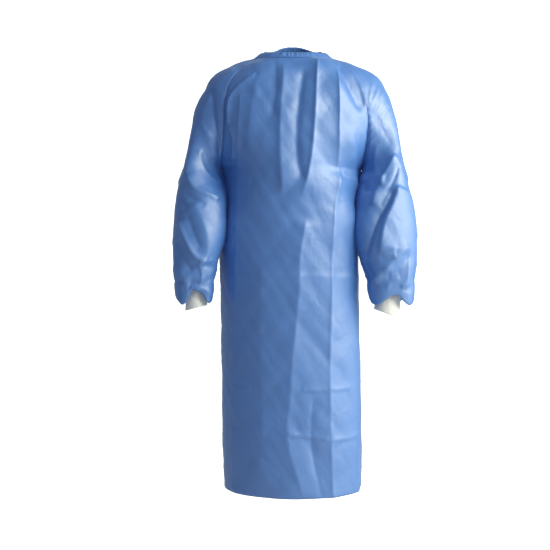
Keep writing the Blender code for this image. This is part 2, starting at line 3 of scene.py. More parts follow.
import bpy
import numpy as np
from bpy.props import FloatProperty, FloatVectorProperty, IntProperty, PointerProperty
from bpy.types import Operator, Panel, PropertyGroup
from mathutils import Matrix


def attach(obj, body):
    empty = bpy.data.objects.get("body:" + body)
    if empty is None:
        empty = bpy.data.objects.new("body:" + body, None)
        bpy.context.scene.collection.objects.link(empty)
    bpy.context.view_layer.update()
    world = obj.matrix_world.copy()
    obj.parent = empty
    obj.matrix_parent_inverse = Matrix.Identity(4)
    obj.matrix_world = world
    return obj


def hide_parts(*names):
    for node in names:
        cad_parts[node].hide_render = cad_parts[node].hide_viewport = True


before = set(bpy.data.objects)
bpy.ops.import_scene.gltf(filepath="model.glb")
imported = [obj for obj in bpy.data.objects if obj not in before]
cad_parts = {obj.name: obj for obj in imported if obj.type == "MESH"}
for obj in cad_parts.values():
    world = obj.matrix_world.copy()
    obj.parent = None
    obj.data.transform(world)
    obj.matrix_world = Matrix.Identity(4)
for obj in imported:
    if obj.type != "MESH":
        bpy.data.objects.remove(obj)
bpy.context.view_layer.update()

bl_info = {
    "name": "Surgical gown dressing",
    "version": (1, 0, 0),
    "blender": (4, 5, 0),
    "location": "3D View > Sidebar > Gown",
    "description": "Dresses the surgical gown's solids in thin creased nonwoven cloth, rib knit and sewing",
    "category": "Object",
}

# Seams and sections of the cut, the same as in the gown's solids. Metres, left and right are the wearer's.
SEAM_GAP = 0.0003
CLOTH_WALL = 0.0018
HEM_HEIGHT = -1.163
UNDERARM_HEIGHT = -0.305
FULLNESS = 0.58
UNDERARM_TURN = 33.0
UNDERARM_PINCH = 0.16
OUTWARD = {"right": -1.0, "left": 1.0}
FORWARD = {"front": -1.0, "back": 1.0}

CENTRE = (
    ("height", "front_y", "back_y"),
    (
        (-1.163, -0.140, 0.166),
        (-0.900, -0.138, 0.162),
        (-0.600, -0.134, 0.156),
        (-0.400, -0.1335, 0.154),
        (-0.305, -0.1325, 0.152),
        (-0.220, -0.128, 0.148),
        (-0.150, -0.119, 0.139),
        (-0.090, -0.103, 0.126),
        (-0.045, -0.087, 0.112),
        (-0.015, -0.068, 0.096),
        (0.0285, -0.060, 0.082),
    ),
)
SIDE_SEAM = (
    ("height", "right_x", "left_x", "y"),
    (
        (-1.163, -0.189, 0.187, 0.046),
        (-0.974, -0.193, 0.188, 0.046),
        (-0.768, -0.196, 0.183, 0.046),
        (-0.605, -0.199, 0.180, 0.046),
        (-0.480, -0.200, 0.180, 0.044),
        (-0.380, -0.195, 0.182, 0.036),
        (-0.305, -0.194, 0.186, 0.020),
    ),
)
RAGLAN_COLUMNS = (
    "share", "right_x", "left_x", "y", "height", "body_turn", "body_reach", "sleeve_turn", "sleeve_reach",
)
RAGLAN = {
    "front": (
        RAGLAN_COLUMNS,
        (
            (0.00, -0.194, 0.186, 0.020, -0.305, -33.0, 0.087, 33.0, 0.108),
            (0.14, -0.191, 0.191, -0.020, -0.272, -42.0, 0.064, 50.0, 0.055),
            (0.28, -0.187, 0.196, -0.054, -0.227, -50.0, 0.055, 80.0, 0.034),
            (0.43, -0.183, 0.197, -0.070, -0.175, -58.0, 0.060, 108.0, 0.028),
            (0.58, -0.181, 0.188, -0.075, -0.125, -62.0, 0.062, 112.0, 0.028),
            (0.72, -0.170, 0.173, -0.069, -0.084, -62.0, 0.058, 116.0, 0.026),
            (0.87, -0.140, 0.142, -0.052, -0.042, -55.0, 0.045, 124.0, 0.022),
            (1.00, -0.097, 0.096, -0.024, -0.010, -36.0, 0.034, 146.0, 0.012),
        ),
    ),
    "back": (
        RAGLAN_COLUMNS,
        (
            (0.00, -0.194, 0.186, 0.020, -0.305, -33.0, 0.077, 33.0, 0.098),
            (0.14, -0.190, 0.188, 0.060, -0.272, -44.0, 0.055, 50.0, 0.055),
            (0.28, -0.186, 0.188, 0.088, -0.227, -58.0, 0.055, 82.0, 0.036),
            (0.43, -0.181, 0.184, 0.101, -0.175, -66.0, 0.060, 108.0, 0.032),
            (0.58, -0.174, 0.177, 0.105, -0.125, -68.0, 0.060, 112.0, 0.032),
            (0.72, -0.162, 0.164, 0.101, -0.080, -66.0, 0.055, 116.0, 0.030),
            (0.87, -0.130, 0.132, 0.084, -0.034, -60.0, 0.045, 124.0, 0.024),
            (1.00, -0.088, 0.088, 0.050, 0.009, -50.0, 0.034, 138.0, 0.014),
        ),
    ),
}
SHOULDER = (
    ("share", "right_x", "left_x", "y", "height", "reach"),
    (
        (0.00, -0.289, 0.294, -0.002, -0.273, 0.104),
        (0.14, -0.279, 0.286, 0.002, -0.228, 0.085),
        (0.28, -0.273, 0.279, 0.006, -0.180, 0.066),
        (0.43, -0.262, 0.268, 0.010, -0.137, 0.056),
        (0.58, -0.243, 0.253, 0.012, -0.095, 0.050),
        (0.72, -0.218, 0.226, 0.014, -0.053, 0.045),
        (0.87, -0.160, 0.164, 0.014, -0.021, 0.034),
        (1.00, -0.102, 0.104, 0.012, -0.002, 0.018),
    ),
)
SLEEVE_COLUMNS = (
    "share", "outer_x", "outer_z", "outer_y", "inner_x", "inner_z", "inner_y", "front_reach", "back_reach",
)
SLEEVE = {
    "right": (
        SLEEVE_COLUMNS,
        (
            (0.00, -0.289, -0.273, -0.002, -0.194, -0.305, 0.020, 0.106, 0.100),
            (0.14, -0.300, -0.322, -0.012, -0.197, -0.350, 0.000, 0.098, 0.094),
            (0.32, -0.313, -0.387, -0.022, -0.194, -0.405, -0.022, 0.092, 0.088),
            (0.52, -0.320, -0.455, -0.030, -0.194, -0.462, -0.036, 0.090, 0.086),
            (0.72, -0.321, -0.519, -0.036, -0.198, -0.520, -0.044, 0.088, 0.084),
            (0.87, -0.318, -0.576, -0.042, -0.203, -0.574, -0.048, 0.084, 0.078),
            (1.00, -0.315, -0.622, -0.047, -0.209, -0.618, -0.050, 0.076, 0.070),
        ),
    ),
    "left": (
        SLEEVE_COLUMNS,
        (
            (0.00, 0.294, -0.273, -0.002, 0.186, -0.305, 0.020, 0.106, 0.100),
            (0.14, 0.305, -0.330, -0.012, 0.189, -0.350, 0.000, 0.100, 0.096),
            (0.32, 0.320, -0.392, -0.022, 0.184, -0.405, -0.024, 0.096, 0.092),
            (0.52, 0.328, -0.455, -0.030, 0.181, -0.462, -0.042, 0.096, 0.092),
            (0.72, 0.329, -0.512, -0.036, 0.184, -0.520, -0.048, 0.094, 0.090),
            (0.87, 0.327, -0.570, -0.042, 0.188, -0.576, -0.052, 0.090, 0.084),
            (1.00, 0.322, -0.620, -0.047, 0.195, -0.626, -0.054, 0.082, 0.076),
        ),
    ),
}
ROLL_HEIGHT = -0.655
LOBE_DROP = 0.015
ROLL = (("size", "rise"), ((0.99, 0.011), (0.94, 0.002), (0.86, 0.000), (0.79, 0.007)))
CUFF_COLUMNS = ("share", "x", "y", "z", "half_width", "half_depth", "tilt")
CUFF = {
    "right": (
        CUFF_COLUMNS,
        (
            (0.0, -0.258, -0.049, -0.618, 0.0295, 0.031, 0.05),
            (0.5, -0.2575, -0.050, -0.648, 0.0285, 0.030, 0.15),
            (1.0, -0.257, -0.051, -0.676, 0.0295, 0.031, 0.25),
        ),
    ),
    "left": (
        CUFF_COLUMNS,
        (
            (0.0, 0.252, -0.051, -0.622, 0.0330, 0.034, -0.05),
            (0.5, 0.250, -0.053, -0.658, 0.0330, 0.034, -0.22),
            (1.0, 0.249, -0.055, -0.692, 0.0360, 0.036, -0.38),
        ),
    ),
}
CUFF_SEAM_SHARE = 0.12
BINDING_RISE = 0.0145
BINDING_LEAN_X = 0.80
BINDING_LEAN_Y = 0.88
BINDING_CENTRE_Y = 0.008

# Share of the half back by which the two backs pass each other, and over which the under one eases in
OVERLAP = 4.0 / 9.0
OVERLAP_EASE = 3.0 / 9.0

# Folds. Each shows on the side of the cloth that it names. Its path is in x and z, or y and z on a side,
# and runs downward or to the right. Left and right of it, seen going down, it reaches by those widths.
# Height is out of the cloth, negative for a trough, and fade is how far its ends die away. Crisp is 1 for
# a pressed edge and near 2 for a soft swell.
FOLD_COLUMNS = ("shows", "path", "left", "right", "height", "fade", "crisp")
BODY_FOLDS = (
    FOLD_COLUMNS,
    (
        ("front", (
            (0.072, 0.056), (0.062, -0.016), (0.053, -0.175), (0.044, -0.273), (0.026, -0.365),
            (0.018, -0.396),
        ), 0.020, 0.046, 0.0095, 0.045, 1.0),
        ("front", (
            (0.062, -0.021), (0.053, -0.175), (0.044, -0.273), (0.028, -0.355),
        ), 0.003, 0.007, 0.0022, 0.016, 1.2),
        ("front", (
            (-0.026, -0.026), (-0.028, -0.083), (-0.033, -0.139), (-0.036, -0.247), (-0.028, -0.386),
        ), 0.011, 0.022, 0.0065, 0.030, 1.2),
        ("front", (
            (0.028, -0.047), (0.015, -0.139), (0.008, -0.216), (0.013, -0.306), (0.026, -0.355),
        ), 0.014, 0.010, -0.0060, 0.030, 1.6),
        ("front", (
            (-0.051, -0.016), (-0.046, -0.075), (-0.049, -0.126), (-0.059, -0.191),
        ), 0.014, 0.006, -0.0025, 0.034, 2.0),
        ("front", (
            (0.113, 0.005), (0.116, -0.175), (0.111, -0.268), (0.103, -0.386),
        ), 0.013, 0.044, 0.0065, 0.036, 1.0),
        ("front", (
            (0.108, -0.309), (0.095, -0.522), (0.093, -0.648), (0.090, -0.738), (0.090, -0.998),
            (0.098, -1.206),
        ), 0.030, 0.050, 0.0110, 0.036, 1.0),
        ("front", (
            (0.113, 0.015), (0.116, -0.175), (0.108, -0.322), (0.095, -0.522), (0.090, -0.738),
            (0.090, -0.998), (0.098, -1.206),
        ), 0.002, 0.005, 0.0012, 0.036, 1.3),
        ("front", (
            (0.033, -0.437), (0.015, -0.540), (0.013, -0.630), (0.005, -0.718), (-0.005, -0.828),
            (-0.010, -0.913), (-0.018, -0.998), (-0.013, -1.034), (0.001, -1.082), (0.028, -1.175),
        ), 0.036, 0.024, 0.0076, 0.030, 1.0),
        ("front", (
            (-0.139, -0.108), (-0.146, -0.358), (-0.150, -0.540), (-0.159, -0.864), (-0.159, -1.172),
        ), 0.014, 0.016, 0.0032, 0.020, 1.0),
        ("front", (
            (-0.080, -0.525), (-0.085, -0.730), (-0.080, -0.962), (-0.090, -1.172),
        ), 0.026, 0.030, 0.0030, 0.060, 1.3),
        ("front", ((0.116, -0.324), (0.144, -0.335), (0.182, -0.358)), 0.004, 0.014, 0.0026, 0.008, 1.0),
        ("front", ((0.123, -0.355), (0.146, -0.365), (0.175, -0.381)), 0.007, 0.005, -0.0012, 0.008, 1.5),
        ("front", ((-0.164, -0.885), (-0.136, -0.887), (-0.108, -0.885)), 0.003, 0.007, 0.0014, 0.008, 1.0),
        ("front", ((0.018, -0.887), (0.082, -0.885), (0.144, -0.887)), 0.002, 0.008, 0.0024, 0.006, 1.0),
        ("front", ((-0.018, -0.998), (0.033, -1.005), (0.087, -1.013)), 0.002, 0.009, 0.0036, 0.005, 1.0),
        ("front", ((0.093, -1.016), (0.134, -1.016), (0.177, -1.013)), 0.002, 0.009, 0.0030, 0.005, 1.0),
        ("front", ((-0.182, -1.003), (-0.126, -1.000), (-0.067, -1.000)), 0.003, 0.007, 0.0012, 0.010, 1.0),
        ("front", ((-0.185, -0.592), (-0.008, -0.589), (0.177, -0.592)), 0.030, 0.004, 0.0018, 0.014, 1.0),
        ("front", (
            (-0.098, -0.062), (-0.136, -0.088), (-0.162, -0.114), (-0.172, -0.150), (-0.170, -0.196),
        ), 0.003, 0.009, 0.0060, 0.010, 1.0),
        ("front", (
            (-0.080, -0.031), (-0.098, -0.098), (-0.111, -0.170), (-0.116, -0.293),
        ), 0.012, 0.018, 0.0026, 0.040, 1.7),
        ("front", (
            (0.103, -0.011), (0.126, -0.062), (0.152, -0.114), (0.182, -0.170),
        ), 0.012, 0.024, -0.0090, 0.034, 1.3),
        ("front", (
            (0.149, -0.191), (0.154, -0.396), (0.159, -0.653), (0.162, -0.962), (0.167, -1.206),
        ), 0.034, 0.012, 0.0090, 0.060, 1.6),
        ("front", (
            (0.049, -0.897), (0.044, -1.013), (0.054, -1.090), (0.075, -1.172),
        ), 0.009, 0.010, -0.0032, 0.030, 1.2),
        ("front", ((-0.172, -0.196), (-0.157, -0.232), (-0.162, -0.288)), 0.004, 0.010, 0.0046, 0.012, 1.0),
        ("front", (
            (-0.105, -1.052), (-0.064, -1.070), (-0.028, -1.111),
        ), 0.006, 0.009, -0.0015, 0.016, 1.3),
        ("front", ((-0.177, -0.412), (-0.164, -0.432), (-0.159, -0.468)), 0.005, 0.008, 0.0020, 0.008, 1.0),
        ("back", ((-0.110, -0.030), (-0.122, -0.450), (-0.130, -1.170)), 0.014, 0.044, 0.0075, 0.020, 1.0),
        ("back", ((-0.086, -0.160), (-0.094, -0.500), (-0.098, -1.170)), 0.018, 0.008, -0.0035, 0.050, 1.2),
        ("back", ((0.118, -0.030), (0.130, -0.500), (0.138, -1.170)), 0.044, 0.014, 0.0075, 0.020, 1.0),
        ("back", ((0.072, -0.230), (0.080, -0.700), (0.085, -1.170)), 0.030, 0.022, 0.0060, 0.060, 1.0),
        ("back", ((0.030, -0.030), (0.062, -0.170), (0.100, -0.262)), 0.008, 0.018, 0.0050, 0.020, 1.1),
        ("back", ((-0.036, -0.040), (-0.066, -0.190), (-0.128, -0.290)), 0.016, 0.008, 0.0048, 0.020, 1.1),
        ("back", ((-0.160, -0.885), (-0.060, -0.888)), 0.003, 0.007, 0.0016, 0.010, 1.0),
        ("back", ((0.052, -0.886), (0.160, -0.884)), 0.003, 0.007, 0.0018, 0.010, 1.0),
        ("back", ((-0.168, -0.592), (0.000, -0.590), (0.165, -0.592)), 0.030, 0.004, 0.0018, 0.014, 1.0),
        ("back", ((-0.150, -1.002), (-0.040, -0.998)), 0.003, 0.007, 0.0016, 0.010, 1.0),
        ("back", ((0.060, -1.010), (0.165, -1.014)), 0.003, 0.009, 0.0020, 0.010, 1.0),
        ("back", ((0.140, -0.300), (0.120, -0.352), (0.070, -0.398)), 0.005, 0.012, 0.0034, 0.014, 1.0),
        ("back", ((-0.150, -0.330), (-0.118, -0.380), (-0.060, -0.415)), 0.012, 0.005, 0.0034, 0.014, 1.0),
    ),
)
SLEEVE_FOLDS = {
    "right": (
        FOLD_COLUMNS,
        (
            ("front", (
                (-0.217, -0.090), (-0.211, -0.153), (-0.201, -0.221), (-0.188, -0.268),
            ), 0.010, 0.008, -0.0080, 0.014, 1.2),
            ("front", (
                (-0.238, -0.111), (-0.240, -0.164), (-0.232, -0.221), (-0.217, -0.263),
            ), 0.012, 0.008, 0.0016, 0.016, 1.4),
            ("front", (
                (-0.230, -0.205), (-0.217, -0.242), (-0.201, -0.278),
            ), 0.012, 0.007, 0.0030, 0.012, 1.2),
            ("front", (
                (-0.253, -0.179), (-0.227, -0.213), (-0.196, -0.250),
            ), 0.005, 0.009, 0.0026, 0.010, 1.0),
            ("front", (
                (-0.251, -0.252), (-0.245, -0.284), (-0.235, -0.310), (-0.219, -0.329), (-0.193, -0.346),
            ), 0.014, 0.007, 0.0046, 0.012, 1.0),
            ("front", (
                (-0.279, -0.325), (-0.269, -0.349), (-0.258, -0.363), (-0.238, -0.372), (-0.193, -0.391),
            ), 0.007, 0.010, 0.0065, 0.009, 1.0),
            ("front", (
                (-0.290, -0.372), (-0.258, -0.391), (-0.227, -0.409),
            ), 0.009, 0.006, -0.0035, 0.012, 1.2),
            ("front", (
                (-0.264, -0.396), (-0.235, -0.451), (-0.224, -0.511), (-0.232, -0.566),
            ), 0.024, 0.022, 0.0070, 0.016, 1.3),
            ("front", (
                (-0.300, -0.448), (-0.282, -0.495), (-0.251, -0.545), (-0.227, -0.558),
            ), 0.008, 0.009, 0.0100, 0.009, 1.0),
            ("front", (
                (-0.279, -0.425), (-0.261, -0.477), (-0.240, -0.524),
            ), 0.008, 0.009, -0.0036, 0.012, 1.3),
            ("front", (
                (-0.308, -0.492), (-0.290, -0.539), (-0.261, -0.581),
            ), 0.016, 0.007, -0.0065, 0.014, 1.3),
            ("front", (
                (-0.248, -0.555), (-0.240, -0.579), (-0.244, -0.615),
            ), 0.006, 0.022, 0.0075, 0.007, 1.0),
            ("front", (
                (-0.240, -0.563), (-0.227, -0.563), (-0.211, -0.571),
            ), 0.004, 0.004, -0.0045, 0.005, 1.2),
            ("front", (
                (-0.305, -0.605), (-0.277, -0.610), (-0.251, -0.611), (-0.227, -0.605), (-0.201, -0.589),
            ), 0.003, 0.004, -0.0046, 0.006, 1.2),
            ("front", (
                (-0.290, -0.627), (-0.271, -0.631), (-0.253, -0.631),
            ), 0.003, 0.003, -0.0040, 0.005, 1.2),
            ("front", (
                (-0.271, -0.620), (-0.240, -0.624), (-0.209, -0.644),
            ), 0.004, 0.006, 0.0040, 0.006, 1.0),
            ("front", (
                (-0.235, -0.610), (-0.222, -0.612), (-0.204, -0.610),
            ), 0.003, 0.003, -0.0035, 0.004, 1.2),
            ("front", (
                (-0.303, -0.571), (-0.287, -0.599), (-0.274, -0.618),
            ), 0.006, 0.009, 0.0040, 0.008, 1.1),
            ("front", (
                (-0.149, -0.038), (-0.185, -0.070), (-0.219, -0.111), (-0.235, -0.148),
            ), 0.007, 0.012, 0.0035, 0.016, 1.2),
            ("front", (
                (-0.284, -0.252), (-0.279, -0.289), (-0.284, -0.331),
            ), 0.007, 0.007, 0.0030, 0.010, 1.1),
            ("front", (
                (-0.300, -0.383), (-0.290, -0.404), (-0.274, -0.417),
            ), 0.005, 0.006, -0.0030, 0.007, 1.2),
            ("back", ((-0.292, -0.306), (-0.262, -0.345), (-0.204, -0.382)), 0.006, 0.016, 0.0065, 0.012, 1.0),
            ("back", ((-0.280, -0.350), (-0.250, -0.392), (-0.212, -0.420)), 0.008, 0.006, -0.0040, 0.012, 1.2),
            ("back", ((-0.302, -0.410), (-0.270, -0.470), (-0.222, -0.530)), 0.010, 0.024, 0.0090, 0.014, 1.0),
            ("back", ((-0.300, -0.530), (-0.262, -0.560), (-0.215, -0.570)), 0.006, 0.014, 0.0065, 0.012, 1.0),
            ("back", ((-0.288, -0.560), (-0.262, -0.585), (-0.232, -0.596)), 0.005, 0.005, -0.0040, 0.008, 1.2),
            ("back", ((-0.190, -0.120), (-0.222, -0.170), (-0.252, -0.250)), 0.010, 0.016, 0.0050, 0.016, 1.1),
            ("side", ((0.030, -0.240), (0.000, -0.300), (-0.030, -0.350)), 0.010, 0.014, 0.0040, 0.014, 1.1),
            ("side", ((-0.060, -0.490), (-0.020, -0.514), (0.030, -0.520)), 0.008, 0.014, 0.0026, 0.014, 1.2),
            ("side", ((-0.080, -0.572), (-0.030, -0.576), (0.020, -0.552)), 0.007, 0.012, 0.0024, 0.012, 1.2),
            ("side", ((-0.070, -0.602), (-0.040, -0.606), (0.000, -0.598)), 0.004, 0.004, -0.0050, 0.008, 1.2),
        ),
    ),
    "left": (
        FOLD_COLUMNS,
        (
            ("front", (
                (0.209, -0.080), (0.204, -0.106), (0.196, -0.137),
            ), 0.003, 0.004, 0.0026, 0.005, 1.1),
            ("front", (
                (0.230, -0.085), (0.214, -0.122), (0.196, -0.158),
            ), 0.003, 0.004, 0.0032, 0.006, 1.1),
            ("front", (
                (0.240, -0.093), (0.224, -0.132), (0.198, -0.179),
            ), 0.003, 0.004, 0.0034, 0.006, 1.1),
            ("front", (
                (0.251, -0.127), (0.230, -0.164), (0.198, -0.200),
            ), 0.003, 0.004, 0.0034, 0.006, 1.1),
            ("front", (
                (0.264, -0.143), (0.235, -0.182), (0.198, -0.221),
            ), 0.003, 0.004, 0.0034, 0.006, 1.1),
            ("front", (
                (0.251, -0.182), (0.227, -0.211), (0.198, -0.242),
            ), 0.003, 0.004, 0.0026, 0.008, 1.2),
            ("front", (
                (0.222, -0.237), (0.219, -0.284), (0.222, -0.325),
            ), 0.011, 0.013, 0.0045, 0.010, 1.3),
            ("front", (
                (0.180, -0.328), (0.209, -0.325), (0.243, -0.336),
            ), 0.014, 0.007, 0.0070, 0.006, 1.0),
            ("front", (
                (0.183, -0.359), (0.209, -0.362), (0.232, -0.349),
            ), 0.008, 0.008, -0.0075, 0.007, 1.3),
            ("front", (
                (0.269, -0.268), (0.245, -0.320), (0.214, -0.378), (0.206, -0.409),
            ), 0.008, 0.010, 0.0070, 0.010, 1.1),
            ("front", (
                (0.279, -0.297), (0.264, -0.338), (0.243, -0.375), (0.222, -0.412),
            ), 0.007, 0.008, -0.0045, 0.010, 1.2),
            ("front", (
                (0.266, -0.365), (0.245, -0.406), (0.219, -0.448), (0.204, -0.490), (0.188, -0.542),
            ), 0.015, 0.005, -0.0090, 0.012, 1.2),
            ("front", (
                (0.274, -0.351), (0.256, -0.401), (0.235, -0.451), (0.222, -0.526),
            ), 0.005, 0.040, 0.0100, 0.012, 1.0),
            ("front", (
                (0.219, -0.524), (0.240, -0.534), (0.264, -0.537),
            ), 0.005, 0.013, 0.0055, 0.005, 1.0),
            ("front", (
                (0.224, -0.545), (0.243, -0.550), (0.261, -0.542),
            ), 0.006, 0.004, -0.0045, 0.005, 1.2),
            ("front", (
                (0.303, -0.511), (0.282, -0.529), (0.253, -0.560), (0.206, -0.610),
            ), 0.014, 0.008, 0.0070, 0.010, 1.1),
            ("front", (
                (0.305, -0.534), (0.284, -0.563), (0.261, -0.586), (0.238, -0.602), (0.206, -0.623),
            ), 0.007, 0.013, -0.0055, 0.014, 1.2),
            ("front", (
                (0.232, -0.577), (0.245, -0.576), (0.256, -0.579),
            ), 0.003, 0.005, 0.0040, 0.004, 1.0),
            ("front", (
                (0.230, -0.589), (0.243, -0.590), (0.253, -0.586),
            ), 0.003, 0.003, -0.0045, 0.004, 1.2),
            ("front", (
                (0.204, -0.620), (0.219, -0.602), (0.235, -0.592),
            ), 0.004, 0.004, -0.0045, 0.005, 1.2),
            ("front", (
                (0.185, -0.555), (0.196, -0.576), (0.211, -0.597),
            ), 0.005, 0.006, -0.0065, 0.006, 1.2),
            ("front", (
                (0.303, -0.542), (0.298, -0.581), (0.292, -0.610), (0.279, -0.623),
            ), 0.004, 0.007, 0.0045, 0.006, 1.0),
            ("front", (
                (0.282, -0.624), (0.295, -0.626), (0.311, -0.620),
            ), 0.004, 0.003, -0.0050, 0.004, 1.2),
            ("front", (
                (0.251, -0.075), (0.269, -0.132), (0.279, -0.205), (0.287, -0.263),
            ), 0.012, 0.012, 0.0030, 0.018, 1.3),
            ("front", (
                (0.240, -0.623), (0.256, -0.606), (0.277, -0.599),
            ), 0.004, 0.007, 0.0035, 0.006, 1.0),
            ("back", ((0.296, -0.300), (0.262, -0.340), (0.204, -0.376)), 0.006, 0.016, 0.0065, 0.012, 1.0),
            ("back", ((0.288, -0.360), (0.250, -0.398), (0.206, -0.430)), 0.008, 0.014, 0.0055, 0.012, 1.1),
            ("back", ((0.310, -0.430), (0.270, -0.482), (0.214, -0.550)), 0.010, 0.024, 0.0090, 0.014, 1.0),
            ("back", ((0.300, -0.500), (0.262, -0.532), (0.232, -0.566)), 0.009, 0.006, -0.0045, 0.012, 1.2),
            ("back", ((0.216, -0.590), (0.262, -0.585), (0.308, -0.556)), 0.006, 0.013, 0.0060, 0.012, 1.0),
            ("back", ((0.190, -0.120), (0.222, -0.172), (0.250, -0.252)), 0.010, 0.016, 0.0050, 0.016, 1.1),
            ("side", ((0.030, -0.226), (0.004, -0.280), (-0.030, -0.342)), 0.010, 0.014, 0.0040, 0.014, 1.1),
            ("side", ((-0.070, -0.470), (-0.020, -0.498), (0.030, -0.504)), 0.008, 0.014, 0.0026, 0.014, 1.2),
            ("side", ((-0.090, -0.556), (-0.030, -0.560), (0.020, -0.536)), 0.007, 0.012, 0.0022, 0.012, 1.2),
            ("side", ((-0.090, -0.596), (-0.040, -0.606), (0.004, -0.592)), 0.004, 0.004, -0.0045, 0.008, 1.2),
        ),
    ),
}

# Lower edge of each sleeve where it hangs over the cuff. Turn is 0 on the inner line, 0.25 in front, 0.5
# on the outer line and 0.75 behind. Edge is the height of the lowest line and size the share of the tube.
LOBE_COLUMNS = ("turn", "edge", "size")
LOBES = {
    "right": (
        LOBE_COLUMNS,
        (
            (0.000, -0.650, 0.95),
            (0.050, -0.660, 0.97),
            (0.105, -0.661, 0.95),
            (0.150, -0.640, 0.88),
            (0.210, -0.633, 0.86),
            (0.275, -0.634, 0.86),
            (0.305, -0.654, 0.90),
            (0.345, -0.666, 0.95),
            (0.420, -0.656, 0.98),
            (0.500, -0.645, 0.98),
            (0.600, -0.650, 0.95),
            (0.720, -0.664, 0.90),
            (0.830, -0.655, 0.92),
            (0.920, -0.646, 0.94),
            (1.000, -0.650, 0.95),
        ),
    ),
    "left": (
        LOBE_COLUMNS,
        (
            (0.000, -0.650, 0.94),
            (0.060, -0.664, 0.94),
            (0.130, -0.666, 0.92),
            (0.190, -0.653, 0.88),
            (0.255, -0.641, 0.86),
            (0.300, -0.644, 0.88),
            (0.340, -0.658, 0.94),
            (0.385, -0.668, 0.98),
            (0.440, -0.664, 0.97),
            (0.500, -0.646, 0.97),
            (0.600, -0.652, 0.94),
            (0.720, -0.668, 0.90),
            (0.830, -0.660, 0.90),
            (0.920, -0.648, 0.93),
            (1.000, -0.650, 0.94),
        ),
    ),
}
# How the edge rolls under: share of the edge's size, rise above the edge
ROLL_UNDER = ((0.975, 0.0022), (0.955, 0.0008), (0.935, 0.0000), (0.912, 0.0006), (0.890, 0.0026), (0.840, 0.0085))

# Uneven hang of the cloth: wave length in each direction (m), size (m) and start (turns)
HANG_WAVES = (
    (0.310, 0.420, 0.260, 0.0011, 0.10),
    (0.170, 0.260, 0.330, 0.0009, 0.43),
    (0.115, 0.190, 0.140, 0.0007, 0.71),
    (0.083, 0.140, 0.210, 0.0005, 0.27),
    (-0.140, 0.210, 0.120, 0.0006, 0.59),
    (-0.066, 0.150, 0.090, 0.0004, 0.85),
    (0.047, -0.110, 0.072, 0.0003, 0.33),
    (-0.038, 0.090, -0.055, 0.00022, 0.05),
)

# Seam puckers: wave length along the seam (m), size (m) and how far they reach from it (m)
PUCKERS = ((0.0230, 0.00055, 0.020), (0.0145, 0.00040, 0.013), (0.0087, 0.00022, 0.008))

# Where the cloth sinks in beside a raglan seam: seam, height of the middle, half length, depth and reach (m)
SEAM_TROUGHS = (
    ("front_left", -0.085, 0.060, -0.0035, 0.008),
    ("front_right", -0.170, 0.070, 0.0050, 0.010),
    ("front_left", -0.240, 0.050, 0.0030, 0.010),
    ("back_left", -0.110, 0.080, 0.0040, 0.012),
    ("back_right", -0.150, 0.080, 0.0040, 0.012),
)

# How far each sleeve's inner side hangs nearer to the trunk, by height
SLEEVE_HANG = (
    ("height", "right", "left"),
    (
        (-0.600, 0.000, 0.000),
        (-0.560, 0.000, 0.006),
        (-0.520, 0.008, 0.016),
        (-0.480, 0.015, 0.020),
        (-0.420, 0.018, 0.020),
        (-0.350, 0.016, 0.017),
        (-0.322, 0.007, 0.008),
        (-0.305, 0.000, 0.000),
    ),
)

# Fine steps beside a seam, as shares of the half width of a piece
SEAM_STEPS = (0.972, 0.983, 0.991, 0.996, 1.0)

# Hook-and-loop tab and waist ties: panel side, places across the half back and levels they run between
TIES = {
    "waist_tie_right": ("right", (-7.0 / 9.0, -6.0 / 9.0), (5.0 / 17.0, 13.0 / 17.0)),
    "waist_tie_left": ("left", (-4.0 / 9.0, -3.0 / 9.0), (5.0 / 17.0, 13.0 / 17.0)),
}
TAB_ACROSS = (-4.0 / 9.0, -2.0 / 9.0)
TAB_LEVELS = (1.886, 2.0)

# How finely the pieces are drawn
FRONT_COLUMNS_HALF = 80
BACK_COLUMNS_HALF = 60
SLEEVE_COLUMNS_HALF = 56
ROWS_BELOW = 164
ROWS_ABOVE = 62
ROWS_TUBE = 72
# Length from the middle of each piece to its seams, for the cloth beside them
HALF_ROUND = {"front": 0.275, "back": 0.265, "sleeve": 0.190}


class ClothSettings(PropertyGroup):
    """Sizes of the cloth and its sewing."""

    thickness: FloatProperty(
        name="Cloth thickness", description="Thickness of the nonwoven cloth", default=0.0005, unit="LENGTH"
    )
    seam_allowance: FloatProperty(
        name="Seam allowance", description="Cloth turned inward along each seam", default=0.006, unit="LENGTH"
    )
    seam_sink: FloatProperty(
        name="Seam sink", description="How far the cloth dips into a seam", default=0.0011, unit="LENGTH"
    )
    hem_turning: FloatProperty(
        name="Hem turning", description="Height of the cloth turned up inside the hem", default=0.022, unit="LENGTH"
    )
    fold_strength: FloatProperty(
        name="Fold strength", description="Factor on the height of every fold", default=1.0, min=0.0, max=2.0
    )
    hang_strength: FloatProperty(
        name="Uneven hang", description="Factor on the soft waves of the cloth", default=1.0, min=0.0, max=3.0
    )
    stitch_length: FloatProperty(
        name="Stitch length", description="Length of one stitch", default=0.0036, unit="LENGTH"
    )
    thread_width: FloatProperty(name="Thread", description="Width of the thread", default=0.0008, unit="LENGTH")
    rib_count: IntProperty(name="Cuff ribs", description="Knit ribs round a cuff", default=64, min=20, max=120)
    rib_height: FloatProperty(
        name="Rib height", description="Height of a knit rib", default=0.00055, unit="LENGTH"
    )


